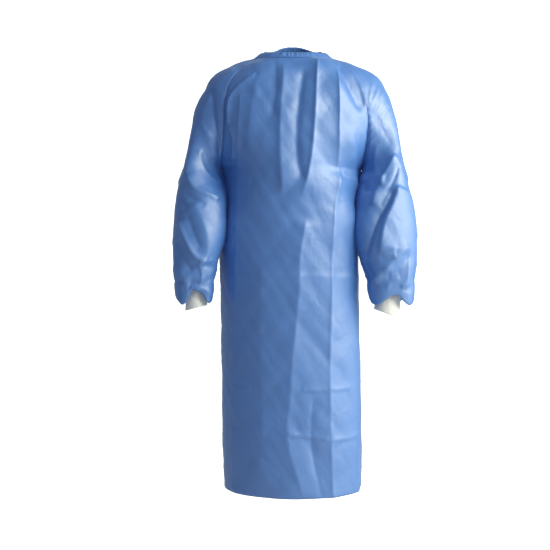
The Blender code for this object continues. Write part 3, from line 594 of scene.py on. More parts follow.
class LookSettings(PropertyGroup):
    """Colours and finish of the materials."""

    cloth_colour: FloatVectorProperty(
        name="Cloth colour", description="Colour of the nonwoven cloth", subtype="COLOR", size=4,
        default=(0.044, 0.172, 0.520, 1.0), min=0.0, max=1.0,
    )
    inside_colour: FloatVectorProperty(
        name="Inside colour", description="Colour of the cloth's inner side", subtype="COLOR", size=4,
        default=(0.080, 0.180, 0.440, 1.0), min=0.0, max=1.0,
    )
    knit_colour: FloatVectorProperty(
        name="Knit colour", description="Colour of the knit cuffs", subtype="COLOR", size=4,
        default=(0.800, 0.795, 0.780, 1.0), min=0.0, max=1.0,
    )
    tape_colour: FloatVectorProperty(
        name="Tape colour", description="Colour of the hook-and-loop tab", subtype="COLOR", size=4,
        default=(0.740, 0.750, 0.760, 1.0), min=0.0, max=1.0,
    )
    cloth_roughness: FloatProperty(
        name="Cloth roughness", description="Roughness of the nonwoven cloth", default=0.50, subtype="FACTOR"
    )
    cloth_sheen: FloatProperty(
        name="Cloth sheen", description="Sheen of the nonwoven cloth", default=0.25, subtype="FACTOR"
    )
    bond_pitch: FloatProperty(
        name="Bond pitch", description="Distance between the bond points of the cloth", default=0.0016, unit="LENGTH"
    )


class StageSettings(PropertyGroup):
    """Camera, lights and floor."""

    camera_place: FloatVectorProperty(
        name="Camera place", description="Where the camera stands", subtype="TRANSLATION", size=3,
        default=(-0.0486, -2.7, -0.589),
    )
    camera_lens: FloatProperty(name="Lens", description="Focal length in millimetres", default=65.45)
    floor_height: FloatProperty(
        name="Floor height", description="Height of the floor under the hanging gown", default=-1.46, unit="LENGTH"
    )
    key_power: FloatProperty(name="Key light", description="Power of the large side light", default=78.0, unit="POWER")
    side_power: FloatProperty(name="Side light", description="Power of the light at the side", default=52.0, unit="POWER")
    fill_power: FloatProperty(name="Fill light", description="Power of the weak fill light", default=1.5, unit="POWER")
    sky_strength: FloatProperty(name="Sky", description="Strength of the light from the surround", default=0.40)
    paper_glow: FloatProperty(
        name="Paper glow", description="Light that the overexposed studio paper adds in the picture", default=1.3
    )


def cloth_settings():
    """Cloth settings of the scene."""
    return bpy.context.scene.gown_cloth


def look_settings():
    """Look settings of the scene."""
    return bpy.context.scene.gown_look


def stage_settings():
    """Stage settings of the scene."""
    return bpy.context.scene.gown_stage


def look_up(table, name, where):
    """Values of a named column at places in the first column, eased between the rows."""
    columns, rows = table
    grid = np.array(rows, dtype=float)
    places = grid[:, 0]
    values = grid[:, columns.index(name)]
    slopes = np.gradient(values, places)
    where = np.clip(np.asarray(where, dtype=float), places[0], places[-1])
    low = np.clip(np.searchsorted(places, where, side="right") - 1, 0, len(places) - 2)
    span = places[low + 1] - places[low]
    t = (where - places[low]) / span
    ease = t * t * (3.0 - 2.0 * t)
    leave = t * (1.0 - t) ** 2 * span * slopes[low]
    arrive = -t * t * (1.0 - t) * span * slopes[low + 1]
    return values[low] + ease * (values[low + 1] - values[low]) + leave + arrive


def ease_between(low, high, value):
    """0 at low, 1 at high, eased at both ends."""
    t = np.clip((value - low) / (high - low), 0.0, 1.0)
    return t * t * (3.0 - 2.0 * t)


def arcs(start, start_pull, end, end_pull, shares):
    """Rows of points. Each row is a curve that leaves each end along that end's pull."""
    t = np.asarray(shares)[None, :, None]
    a, b, c, d = (np.asarray(p)[:, None, :] for p in (start, start + start_pull, end + end_pull, end))
    return (1.0 - t) ** 3 * a + 3.0 * (1.0 - t) ** 2 * t * b + 3.0 * (1.0 - t) * t**2 * c + t**3 * d


def turned_pull(face, side, turn, reach):
    """Pull that goes straight to the front or back, turned outward by an angle in degrees."""
    angle = np.radians(turn)
    flat = np.zeros_like(angle)
    return reach[:, None] * np.stack((OUTWARD[side] * np.sin(angle), FORWARD[face] * np.cos(angle), flat), axis=1)


def raglan_points(face, side, share):
    """Points of a raglan seam."""
    table = RAGLAN[face]
    return np.stack(
        (look_up(table, side + "_x", share), look_up(table, "y", share), look_up(table, "height", share)), axis=1
    )


def body_edge(face, side, levels):
    """Side points of body rows and the pull of the cloth there. A level is 0 at the hem, 1 at the underarm and 2
    at the neck."""
    share = np.clip(levels - 1.0, 0.0, 1.0)
    above_points = raglan_points(face, side, share)
    above_pull = turned_pull(
        face, side, look_up(RAGLAN[face], "body_turn", share), look_up(RAGLAN[face], "body_reach", share)
    )
    height = HEM_HEIGHT + np.clip(levels, 0.0, 1.0) * (UNDERARM_HEIGHT - HEM_HEIGHT)
    side_y = look_up(SIDE_SEAM, "y", height)
    below_points = np.stack((look_up(SIDE_SEAM, side + "_x", height), side_y, height), axis=1)
    reach = FULLNESS * np.abs(look_up(CENTRE, face + "_y", height) - side_y)
    turn = -UNDERARM_TURN * ease_between(UNDERARM_HEIGHT - UNDERARM_PINCH, UNDERARM_HEIGHT, height)
    below_pull = turned_pull(face, side, turn, reach)
    above = (levels > 1.0)[:, None]
    return np.where(above, above_points, below_points), np.where(above, above_pull, below_pull)


def centre_heights(face, levels):
    """Heights of the body rows at the centre front or back."""
    neck_height = {"front": -0.015, "back": 0.0285}[face]
    seam_height = look_up(RAGLAN[face], "height", np.clip(levels - 1.0, 0.0, 1.0))
    seam_end = RAGLAN[face][1][-1][4]
    share = (seam_height - UNDERARM_HEIGHT) / (seam_end - UNDERARM_HEIGHT)
    above = UNDERARM_HEIGHT + (neck_height - UNDERARM_HEIGHT) * share
    below = HEM_HEIGHT + levels * (UNDERARM_HEIGHT - HEM_HEIGHT)
    return np.where(levels > 1.0, above, below)


def body_grid(face, levels, across):
    """Points of the front or back. Across runs from -1 at the wearer's right seam to 1 at the left one."""
    height = centre_heights(face, levels)
    centre = np.stack((np.zeros_like(height), look_up(CENTRE, face + "_y", height), height), axis=1)
    grid = np.empty((len(levels), len(across), 3))
    for side in OUTWARD:
        columns = across < 0.0 if side == "right" else across >= 0.0
        if columns.any():
            edge, edge_pull = body_edge(face, side, levels)
            centre_pull = np.zeros_like(edge)
            centre_pull[:, 0] = FULLNESS * edge[:, 0]
            grid[:, columns] = arcs(centre, centre_pull, edge, edge_pull, np.abs(across[columns]))
    return grid


def sleeve_grid_above(side, shares, around):
    """Points of a sleeve above the underarm. Around runs from 1 at the front seam over the top to -1 at the back."""
    table = SHOULDER
    top = np.stack(
        (look_up(table, side + "_x", shares), look_up(table, "y", shares), look_up(table, "height", shares)), axis=1
    )
    top_reach = look_up(table, "reach", shares)
    grid = np.empty((len(shares), len(around), 3))
    for face in FORWARD:
        columns = around >= 0.0 if face == "front" else around < 0.0
        turn = look_up(RAGLAN[face], "sleeve_turn", shares)
        seam_pull = turned_pull(face, side, turn, look_up(RAGLAN[face], "sleeve_reach", shares))
        top_pull = np.zeros_like(top)
        top_pull[:, 1] = FORWARD[face] * top_reach
        seam = raglan_points(face, side, shares)
        grid[:, columns] = arcs(top, top_pull, seam, seam_pull, np.abs(around[columns]))
    return grid


def sleeve_grid_below(side, shares, around):
    """Points of the closed part of a sleeve. Around runs from 1 at the inner line by way of the front to -1."""
    table = SLEEVE[side]
    outer = np.stack([look_up(table, name, shares) for name in ("outer_x", "outer_y", "outer_z")], axis=1)
    inner = np.stack([look_up(table, name, shares) for name in ("inner_x", "inner_y", "inner_z")], axis=1)
    turn = UNDERARM_TURN * (1.0 - ease_between(0.0, 0.3, shares))
    grid = np.empty((len(shares), len(around), 3))
    for face in FORWARD:
        columns = around >= 0.0 if face == "front" else around < 0.0
        reach = look_up(table, face + "_reach", shares)
        outer_pull = np.zeros_like(outer)
        outer_pull[:, 1] = FORWARD[face] * reach
        inner_pull = turned_pull(face, side, turn, reach)
        grid[:, columns] = arcs(outer, outer_pull, inner, inner_pull, np.abs(around[columns]))
    return grid


def cuff_rings(side, shares, turns, out):
    """Rings of a cuff, moved out by a distance. A turn is 0 on the inner line and 0.25 in front."""
    table = CUFF[side]
    centre = np.stack([look_up(table, name, shares) for name in ("x", "y", "z")], axis=1)[:, None, :]
    width = look_up(table, "half_width", shares)[:, None] + out
    depth = look_up(table, "half_depth", shares)[:, None] + out
    tilt = look_up(table, "tilt", shares)[:, None]
    angle = 2.0 * math.pi * np.asarray(turns)[None, :]
    across = -OUTWARD[side] * width * np.cos(angle)
    along = -depth * np.sin(angle)
    return centre + np.stack((across, along, tilt * across), axis=2)


def grid_normals(grid, outward, closed):
    """Unit normals of a grid of points, the same at both ends of a closed row."""
    across = np.gradient(grid, axis=1)
    along = np.gradient(grid, axis=0)
    joined = 0.5 * (across[:, 0] + across[:, -1])
    across[closed, 0] = joined[closed]
    across[closed, -1] = joined[closed]
    normals = outward * np.cross(across, along)
    return normals / np.maximum(np.linalg.norm(normals, axis=2), 1e-12)[..., None]


def path_distance(places, path):
    """Signed distance of places from a path, and how far along it they lie."""
    best = np.full(len(places), np.inf)
    signed = np.zeros(len(places))
    along = np.zeros(len(places))
    done = 0.0
    for start, end in zip(path[:-1], path[1:]):
        line = end - start
        length = np.linalg.norm(line)
        way = line / length
        offset = places - start
        reach = offset @ way
        nearest = np.clip(reach, 0.0, length)
        gap = offset - nearest[:, None] * way
        distance = np.linalg.norm(gap, axis=1)
        closer = distance < best
        best[closer] = distance[closer]
        side = way[0] * offset[:, 1] - way[1] * offset[:, 0]
        signed[closer] = np.where(side >= 0.0, 1.0, -1.0)[closer] * distance[closer]
        along[closer] = (done + nearest)[closer]
        done += length
    return signed, along, done


def smoothed_path(path):
    """Path with its corners rounded by a curve through its points."""
    points = np.array(path, dtype=float)
    steps = np.concatenate(((0.0,), np.cumsum(np.linalg.norm(np.diff(points, axis=0), axis=1))))
    columns = ("along", "first", "second")
    rows = [(s, p[0], p[1]) for s, p in zip(steps, points)]
    where = np.linspace(0.0, steps[-1], 2 * len(points) + 3)
    return np.stack([look_up((columns, rows), name, where) for name in columns[1:]], axis=1)


def fold_heights(points, normals, table):
    """Sum of the folds over points. A fold shows only where the cloth faces its way, and fades at both ends."""
    total = np.zeros(len(points))
    shows = {
        "front": (points[:, [0, 2]], ease_between(0.05, 0.55, -normals[:, 1])),
        "back": (points[:, [0, 2]], ease_between(0.05, 0.55, normals[:, 1])),
        "side": (points[:, [1, 2]], ease_between(0.20, 0.70, np.abs(normals[:, 0]))),
    }
    for face, path, left, right, height, fade, crisp in table[1]:
        places, facing = shows[face]
        path = smoothed_path(path)
        reach = 4.0 * max(left, right)
        near = (facing > 0.0) & np.all(places > path.min(axis=0) - reach, axis=1)
        near &= np.all(places < path.max(axis=0) + reach, axis=1)
        if not near.any():
            continue
        signed, along, length = path_distance(places[near], path)
        width = np.where(signed < 0.0, left, right)
        ends = ease_between(0.0, fade, along) * ease_between(0.0, fade, length - along)
        total[near] += height * np.exp(-((np.abs(signed) / width) ** crisp)) * ends * facing[near]
    return total


def hang_heights(points):
    """Soft uneven waves of hanging cloth, the same for every piece at one place."""
    total = np.zeros(len(points))
    for wave_x, wave_y, wave_z, size, start in HANG_WAVES:
        turn = points[:, 0] / wave_x + points[:, 1] / wave_y + points[:, 2] / wave_z + start
        total += size * (np.abs(np.sin(math.pi * turn)) * 1.6 - 1.0)
    return total


def pucker_heights(along, away):
    """Small uneven puckers beside a seam, by how far along it and how far away from it a place lies."""
    total = np.zeros_like(along)
    for wave, size, reach in PUCKERS:
        uneven = 0.55 + 0.45 * np.sin(2.0 * math.pi * along / (wave * 5.3) + 1.7)
        shifted = along + 0.35 * wave * np.sin(2.0 * math.pi * along / (wave * 3.1))
        total += size * uneven * np.sin(2.0 * math.pi * shifted / wave) * np.exp(-((away / reach) ** 2))
    return total


def seam_relief(seam, away, height):
    """Dip of the cloth into a seam, with the puckers and the troughs beside it."""
    total = -cloth_settings().seam_sink * np.exp(-((away / 0.0022) ** 2)) + pucker_heights(1.2 * height, away)
    for name, middle, half_length, depth, reach in SEAM_TROUGHS:
        if name == seam:
            total -= depth * np.exp(-((away / reach) ** 1.6) - ((height - middle) / half_length) ** 4)
    return total


def lengths_along(grid, axis):
    """Length walked along one axis of a grid."""
    steps = np.linalg.norm(np.diff(grid, axis=axis), axis=2)
    start = np.zeros_like(np.take(steps, [0], axis=axis))
    return np.concatenate((start, np.cumsum(steps, axis=axis)), axis=axis)


def crowded(count):
    """Shares from 0 at the middle to 1 at a seam, with fine steps beside the seam."""
    return np.concatenate((np.linspace(0.0, 0.960, count + 1), SEAM_STEPS))


def mirrored(shares):
    """Shares from -1 to 1 made from shares that start at 0."""
    return np.concatenate((-shares[::-1], shares[1:]))


def declare(piece, node):
    """Fixes a piece of the look to the gown, in place of a plain solid."""
    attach(piece, "root")
    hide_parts(node)


def shift_edges(grid, normals, closed, gap):
    """Draws the open side edges of a grid in by half the seam gap."""
    moved = grid.copy()
    for edge, inner in ((0, 1), (-1, -2)):
        way = grid[:, inner] - grid[:, edge]
        way -= normals[:, edge] * np.sum(way * normals[:, edge], axis=1, keepdims=True)
        way /= np.maximum(np.linalg.norm(way, axis=1, keepdims=True), 1e-9)
        moved[:, edge] = np.where(closed[:, None], grid[:, edge], grid[:, edge] + way * 0.5 * gap)
    return moved


def shell_part(outer, normals, thickness, closed, outward):
    """Closed thin shell on a grid of points: its points, faces, map corners and which faces lie inside."""
    rows, columns = outer.shape[:2]
    count = rows * columns
    cell = np.arange(count).reshape(rows, columns)
    points = np.concatenate((outer.reshape(-1, 3), (outer - normals * thickness).reshape(-1, 3)))
    corners = np.stack((cell[:-1, :-1], cell[:-1, 1:], cell[1:, 1:], cell[1:, :-1]), axis=2).reshape(-1, 4)
    if outward < 0:
        corners = corners[:, ::-1]
    walked_up = np.broadcast_to(lengths_along(outer, 0)[:, :1], (rows, columns))
    cloth_map = np.stack((lengths_along(outer, 1), walked_up), axis=2).reshape(-1, 2)
    merge = np.arange(count)
    merge[cell[closed, -1]] = cell[closed, 0]
    joined = merge[corners]
    edges = np.stack((joined, np.roll(joined, -1, axis=1)), axis=2).reshape(-1, 2).astype(np.int64)
    map_edges = np.stack((corners, np.roll(corners, -1, axis=1)), axis=2).reshape(-1, 2)
    border = ~np.isin(edges[:, 0] * count + edges[:, 1], edges[:, 1] * count + edges[:, 0])
    rim, rim_map = edges[border], map_edges[border]
    rim_faces = np.stack((rim[:, 1], rim[:, 0], rim[:, 0] + count, rim[:, 1] + count), axis=1)
    rim_corners = np.stack((rim_map[:, 1], rim_map[:, 0], rim_map[:, 0], rim_map[:, 1]), axis=1)
    faces = np.concatenate((joined, joined[:, ::-1] + count, rim_faces))
    face_map = cloth_map[np.concatenate((corners, corners[:, ::-1], rim_corners))]
    inner = np.zeros(len(faces), dtype=np.int32)
    inner[len(joined) : 2 * len(joined)] = 1
    used, faces = np.unique(faces, return_inverse=True)
    return points[used], faces.reshape(-1, 4), face_map, inner


def add_piece(name, parts, materials):
    """One object from parts, which are closed shells."""
    starts = np.concatenate(((0,), np.cumsum([len(part[0]) for part in parts])))
    points = np.concatenate([part[0] for part in parts])
    faces = np.concatenate([part[1] + start for part, start in zip(parts, starts)])
    face_map = np.concatenate([part[2] for part in parts])
    slots = np.concatenate([part[3] for part in parts]) if len(materials) > 1 else np.zeros(len(faces), np.int32)
    mesh = bpy.data.meshes.new(name)
    mesh.from_pydata(points.tolist(), [], faces.tolist())
    for material in materials:
        mesh.materials.append(material)
    mesh.polygons.foreach_set("material_index", slots)
    mesh.polygons.foreach_set("use_smooth", np.ones(len(faces), dtype=bool))
    mesh.uv_layers.new(name="cloth_map").data.foreach_set("uv", face_map.reshape(-1))
    mesh.update()
    piece = bpy.data.objects.new(name, mesh)
    bpy.context.scene.collection.objects.link(piece)
    return piece


def seam_normals(face, side, levels):
    """Unit normals along a side seam and raglan seam, the same for the pieces that meet there."""
    points, body_pull = body_edge(face, side, levels)
    way = np.gradient(points, axis=0)
    share = np.clip(levels - 1.0, 0.0, 1.0)
    sleeve_pull = turned_pull(
        face, side, look_up(RAGLAN[face], "sleeve_turn", share), look_up(RAGLAN[face], "sleeve_reach", share)
    )
    body_pull = body_pull / np.linalg.norm(body_pull, axis=1, keepdims=True)
    sleeve_pull = sleeve_pull / np.linalg.norm(sleeve_pull, axis=1, keepdims=True)
    above = (levels > 1.0)[:, None]
    across = np.where(above, body_pull - sleeve_pull, body_pull)
    normals = np.cross(way, across)
    out_way = np.array((OUTWARD[side], FORWARD[face] * 0.4, 0.0))
    normals *= np.sign(normals @ out_way)[:, None]
    normals /= np.linalg.norm(normals, axis=1, keepdims=True)
    at_underarm = (1.0 - ease_between(0.0, 0.05, np.abs(levels - 1.0)))[:, None] * (levels >= 1.0)[:, None]
    normals = normals * (1.0 - at_underarm) + np.array((0.0, 0.0, -1.0)) * at_underarm
    return normals / np.linalg.norm(normals, axis=1, keepdims=True)


def body_cloth(face, levels, across):
    """Points and normals of the front or back as it hangs, with its folds."""
    grid = body_grid(face, levels, across)
    normals = grid_normals(grid, -FORWARD[face], np.zeros(len(levels), dtype=bool))
    for side in OUTWARD:
        edge = seam_normals(face, side, levels)[:, None, :]
        near = ease_between(0.975, 1.0, across * OUTWARD[side])[None, :, None]
        normals = normals * (1.0 - near) + edge * near
    normals /= np.linalg.norm(normals, axis=2, keepdims=True)
    half = HALF_ROUND[face]
    away = (1.0 - np.abs(across))[None, :] * half + 0.0 * levels[:, None]
    settings = cloth_settings()
    flat_points, flat_normals = grid.reshape(-1, 3), normals.reshape(-1, 3)
    mask = ease_between(0.0, 0.014, away) * (1.0 - ease_between(1.93, 2.0, levels))[:, None]
    folds = fold_heights(flat_points, flat_normals, BODY_FOLDS).reshape(mask.shape) * mask
    hang = hang_heights(flat_points).reshape(mask.shape) * (1.0 - ease_between(1.90, 2.0, levels))[:, None]
    relief = np.empty_like(away)
    for side in OUTWARD:
        half_columns = across < 0.0 if side == "right" else across >= 0.0
        relief[:, half_columns] = seam_relief(face + "_" + side, away[:, half_columns], grid[:, half_columns, 2])
    hem = -0.0004 * np.exp(-(((grid[..., 2] - HEM_HEIGHT - settings.hem_turning) / 0.0025) ** 2))
    height = settings.fold_strength * folds + settings.hang_strength * hang + relief + hem
    return grid + normals * height[..., None], normals


def back_cloth(side, levels, across):
    """Points and normals of a back panel. The right one passes under the left one."""
    points, normals = body_cloth("back", levels, across)
    if side == "right":
        under = ease_between(-OVERLAP - OVERLAP_EASE, -OVERLAP, across)[None, :, None]
        points = points - normals * (CLOTH_WALL + SEAM_GAP) * under
    return points, normals


def seam_flap(points, normals, inner_points):
    """Cloth turned inward along a seam, as rows of three points, with the way its thickness lies."""
    allowance = cloth_settings().seam_allowance
    way = inner_points - points
    way -= normals * np.sum(way * normals, axis=1, keepdims=True)
    way /= np.maximum(np.linalg.norm(way, axis=1, keepdims=True), 1e-9)
    depths = np.array((0.0004, 0.5 * allowance, allowance))
    grid = points[:, None, :] - normals[:, None, :] * depths[None, :, None] + way[:, None, :] * 0.00004
    return grid, np.broadcast_to(-way[:, None, :], grid.shape).copy()


def flap_part(points, normals, inner_points, facing):
    """Closed shell of a seam's turned-in cloth."""
    grid, flap_normals = seam_flap(points, normals, inner_points)
    return shell_part(grid, flap_normals, cloth_settings().thickness, np.zeros(len(grid), dtype=bool), facing)


def hem_part(points, normals, outward):
    """Cloth turned up inside the hem."""
    settings = cloth_settings()
    rows = int(np.argmax(points[:, 0, 2] > HEM_HEIGHT + settings.hem_turning))
    inner = points[: rows + 1] - normals[: rows + 1] * (settings.thickness + 0.0006)
    return shell_part(inner, normals[: rows + 1], settings.thickness, np.zeros(rows + 1, dtype=bool), outward)


def body_levels():
    """Levels of the body rows, from the hem to the neck."""
    below = np.linspace(0.0, 1.0, ROWS_BELOW + 1)
    above = 1.0 + np.linspace(0.0, 1.0, ROWS_ABOVE + 1)[1:]
    return np.concatenate((below, above))


def body_piece(name, face, side, across, look):
    """Makes the front or one back, and gives back its top row."""
    levels = body_levels()
    points, normals = body_cloth(face, levels, across) if face == "front" else back_cloth(side, levels, across)
    outward = -FORWARD[face]
    open_rows = np.zeros(len(levels), dtype=bool)
    settings = cloth_settings()
    shifted = shift_edges(points, normals, open_rows, SEAM_GAP)
    parts = [shell_part(shifted, normals, settings.thickness, open_rows, outward)]
    if across[0] <= -1.0:
        parts.append(flap_part(shifted[:, 0], normals[:, 0], points[:, 2], outward))
    if across[-1] >= 1.0:
        parts.append(flap_part(shifted[:, -1], normals[:, -1], points[:, -3], -outward))
    parts.append(hem_part(shifted, normals, outward))
    declare(add_piece(name + "_cloth", parts, look), name)
    return points[-1]


def edge_rings(side, turns):
    """Rings of a sleeve's lower end: the hanging edge, the roll under it, and the way in to the cuff."""
    last = sleeve_grid_below(side, np.array((1.0,)), 1.0 - 2.0 * turns)[0]
    middle = last[:-1].mean(axis=0)
    edge = look_up(LOBES[side], "edge", turns)
    size = look_up(LOBES[side], "size", turns)[:, None]
    rings = []
    for share, rise in ROLL_UNDER:
        ring = middle + size * share * (last - middle)
        ring[:, 2] = edge + rise
        rings.append(ring)
    seam = cuff_rings(side, np.array((CUFF_SEAM_SHARE,)), turns, 0.0009)[0]
    for share in (0.25, 0.5, 0.75, 1.0):
        rings.append(rings[len(ROLL_UNDER) - 1] * (1.0 - share) + seam * share)
    return last, rings


def sleeve_cloth(side):
    """Points, normals and closed rows of a sleeve as it hangs, from inside its lower end up to the neck."""
    around = -mirrored(crowded(SLEEVE_COLUMNS_HALF))
    turns = 0.5 * (1.0 - around)
    last, rings = edge_rings(side, turns)
    shares = np.linspace(1.0, 0.0, ROWS_TUBE + 1)
    tube = sleeve_grid_below(side, shares, around)
    tube += ease_between(0.66, 1.0, shares)[:, None, None] * (rings[0] - last)[None]
    inner_share = 0.5 + 0.5 * np.cos(2.0 * math.pi * turns)
    tube[..., 0] -= OUTWARD[side] * look_up(SLEEVE_HANG, side, tube[..., 2]) * inner_share[None, :]
    raglan_shares = np.linspace(0.0, 1.0, ROWS_ABOVE + 1)[1:]
    above = sleeve_grid_above(side, raglan_shares, around)
    grid = np.concatenate((np.array(rings[:0:-1]), tube, above))
    joint = len(rings) - 1 + ROWS_TUBE
    row_share = np.exp(-(((np.arange(len(grid)) - joint) / 8.0) ** 2))
    share = row_share[1:-1, None, None] * ease_between(0.0, 0.12, 1.0 - np.abs(around))[None, :, None]
    for _ in range(60):
        grid[1:-1] += share * (0.25 * (grid[:-2] + grid[2:]) - 0.5 * grid[1:-1])
    closed = np.arange(len(grid)) < len(grid) - len(above)
    normals = grid_normals(grid, OUTWARD[side], closed)
    levels = 1.0 + raglan_shares
    for face, column in (("front", around >= 0.0), ("back", around < 0.0)):
        edge = seam_normals(face, side, levels)[:, None, :]
        near = ease_between(0.975, 1.0, np.abs(around[column]))[None, :, None]
        part = normals[-len(above) :, column]
        normals[-len(above) :, column] = part * (1.0 - near) + edge * near
    normals /= np.linalg.norm(normals, axis=2, keepdims=True)
    settings = cloth_settings()
    away = (1.0 - np.abs(around))[None, :] * HALF_ROUND["sleeve"] + 0.0 * grid[..., 2]
    below = ease_between(0.0, 0.03, UNDERARM_HEIGHT - grid[..., 2]) * closed[:, None]
    neck = np.concatenate((np.ones(len(grid) - len(above)), 1.0 - ease_between(0.90, 1.0, raglan_shares)))[:, None]
    outside = np.concatenate((np.zeros(len(rings) - 1), np.ones(len(grid) - len(rings) + 1)))[:, None]
    mask = np.maximum(ease_between(0.0, 0.014, away), below) * neck * outside
    flat_points, flat_normals = grid.reshape(-1, 3), normals.reshape(-1, 3)
    folds = fold_heights(flat_points, flat_normals, SLEEVE_FOLDS[side]).reshape(mask.shape) * mask
    hang = hang_heights(flat_points).reshape(mask.shape) * neck * outside
    relief = np.empty_like(away)
    for face in FORWARD:
        half_columns = around >= 0.0 if face == "front" else around < 0.0
        relief[:, half_columns] = seam_relief(face + "_" + side, away[:, half_columns], grid[:, half_columns, 2])
    relief *= outside
    height = settings.fold_strength * folds + settings.hang_strength * hang + relief
    return grid + normals * height[..., None], normals, closed


def sleeve_piece(side, look):
    """Makes a sleeve, and gives back its top row from the front seam over the shoulder to the back seam."""
    points, normals, closed = sleeve_cloth(side)
    settings = cloth_settings()
    shifted = shift_edges(points, normals, closed, SEAM_GAP)
    outward = OUTWARD[side]
    parts = [shell_part(shifted, normals, settings.thickness, closed, outward)]
    top = ~closed
    parts.append(flap_part(shifted[top, 0], normals[top, 0], points[top, 2], outward))
    parts.append(flap_part(shifted[top, -1], normals[top, -1], points[top, -3], -outward))
    name = "sleeve_" + side
    declare(add_piece(name + "_cloth", parts, look), name)
    return points[-1]


def cuff_piece(side, look):
    """Makes a ribbed knit cuff, folded double at its open end."""
    settings = cloth_settings()
    turns = np.linspace(0.0, 1.0, settings.rib_count * 6 + 1)
    profile = [(share, 0.0) for share in np.linspace(0.0, 0.96, 18)]
    profile += [(0.985, -0.0002), (1.000, -0.0006), (1.006, -0.0011), (1.000, -0.0016), (0.985, -0.0020)]
    profile += [(share, -0.0022) for share in np.linspace(0.94, 0.10, 10)]
    shares = np.array([share for share, out in profile])
    outs = np.array([out for share, out in profile])
    wave = np.abs(np.cos(math.pi * settings.rib_count * turns)) ** 1.4 - 0.5
    rib_size = settings.rib_height * np.where(outs > -0.0015, 1.0, -0.6)[:, None]
    uneven = 1.0 + 0.25 * np.sin(2.0 * math.pi * (3.0 * turns[None, :] + 1.3 * shares[:, None]))
    out = outs[:, None] + rib_size * wave[None, :] * uneven
    out += 0.0008 * np.sin(2.0 * math.pi * (2.0 * turns[None, :] + 0.8 * shares[:, None] + 0.2))
    grid = np.stack([cuff_rings(side, np.array((share,)), turns, row[None, :])[0] for share, row in zip(np.minimum(shares, 1.0), out)])
    beyond = np.maximum(shares - 1.0, 0.0) * 0.06
    grid[..., 2] -= beyond[:, None]
    closed = np.ones(len(grid), dtype=bool)
    normals = grid_normals(grid, -OUTWARD[side], closed)
    name = "cuff_" + side
    part = shell_part(grid, normals, 0.0006, closed, -OUTWARD[side])
    declare(add_piece(name + "_knit", [part], look), name)


def resampled(path, step):
    """Points of a path at even steps."""
    walked = np.concatenate(((0.0,), np.cumsum(np.linalg.norm(np.diff(path, axis=0), axis=1))))
    where = np.linspace(0.0, walked[-1], int(walked[-1] / step) + 1)
    return np.stack([np.interp(where, walked, path[:, k]) for k in range(3)], axis=1), where


def binding_frame(path):
    """Top edge of the neck binding above its lower edge, and the way out of the garment."""
    top = path.copy()
    top[:, 0] *= BINDING_LEAN_X
    top[:, 1] = BINDING_CENTRE_Y + (path[:, 1] - BINDING_CENTRE_Y) * BINDING_LEAN_Y
    top[:, 2] += BINDING_RISE
    way = np.gradient(path, axis=0)
    outward = np.cross(top - path, way)
    centre = np.array((0.0, BINDING_CENTRE_Y, 0.0))
    outward *= np.sign(np.sum(outward * (path - centre), axis=1))[:, None]
    return top, outward / np.linalg.norm(outward, axis=1, keepdims=True)


def binding_point(path, top, outward, share, out):
    """Points of the binding at a share of its height, moved out of the garment."""
    return path + (top - path) * share + outward * out


def binding_piece(path, look, thread):
    """Makes the neck binding, a strip folded over the neck edge and sewn down, and its line of stitches."""
    path, walked = resampled(path, 0.0016)
    top, outward = binding_frame(path)
    pucker = 2.2 * pucker_heights(walked * 1.5, np.zeros_like(walked)) + 0.4 * pucker_heights(walked * 0.6, 0.0 * walked)
    profile = (
        (-0.10, 0.0008, 0.0), (-0.06, 0.0010, 0.1), (0.04, 0.0012, 0.2), (0.14, 0.0009, 0.1), (0.26, 0.0013, 0.6),
        (0.45, 0.0016, 1.0), (0.65, 0.0016, 1.0), (0.82, 0.0013, 0.8), (0.93, 0.0009, 0.5), (0.985, 0.0003, 0.3),
        (0.985, -0.0004, 0.2), (0.90, -0.0010, 0.3), (0.60, -0.0013, 0.5), (0.20, -0.0012, 0.2), (-0.10, -0.0014, 0.1),
    )
    rows = [
        binding_point(path, top, outward, share + 0.02 * pucker[:, None] / 0.001, (out + give * pucker)[:, None])
        for share, out, give in profile
    ]
    grid = np.array(rows)
    closed = np.zeros(len(grid), dtype=bool)
    normals = grid_normals(grid, 1.0, closed)
    if np.sum(normals[5] * outward) < 0.0:
        normals = -normals
        facing = -1.0
    else:
        facing = 1.0
    part = shell_part(grid, normals, cloth_settings().thickness, closed, facing)
    declare(add_piece("neck_binding_cloth", [part], look), "neck_binding")
    add_stitches("neck_binding_stitches", binding_point(path, top, outward, 0.14, 0.0013), outward, thread)


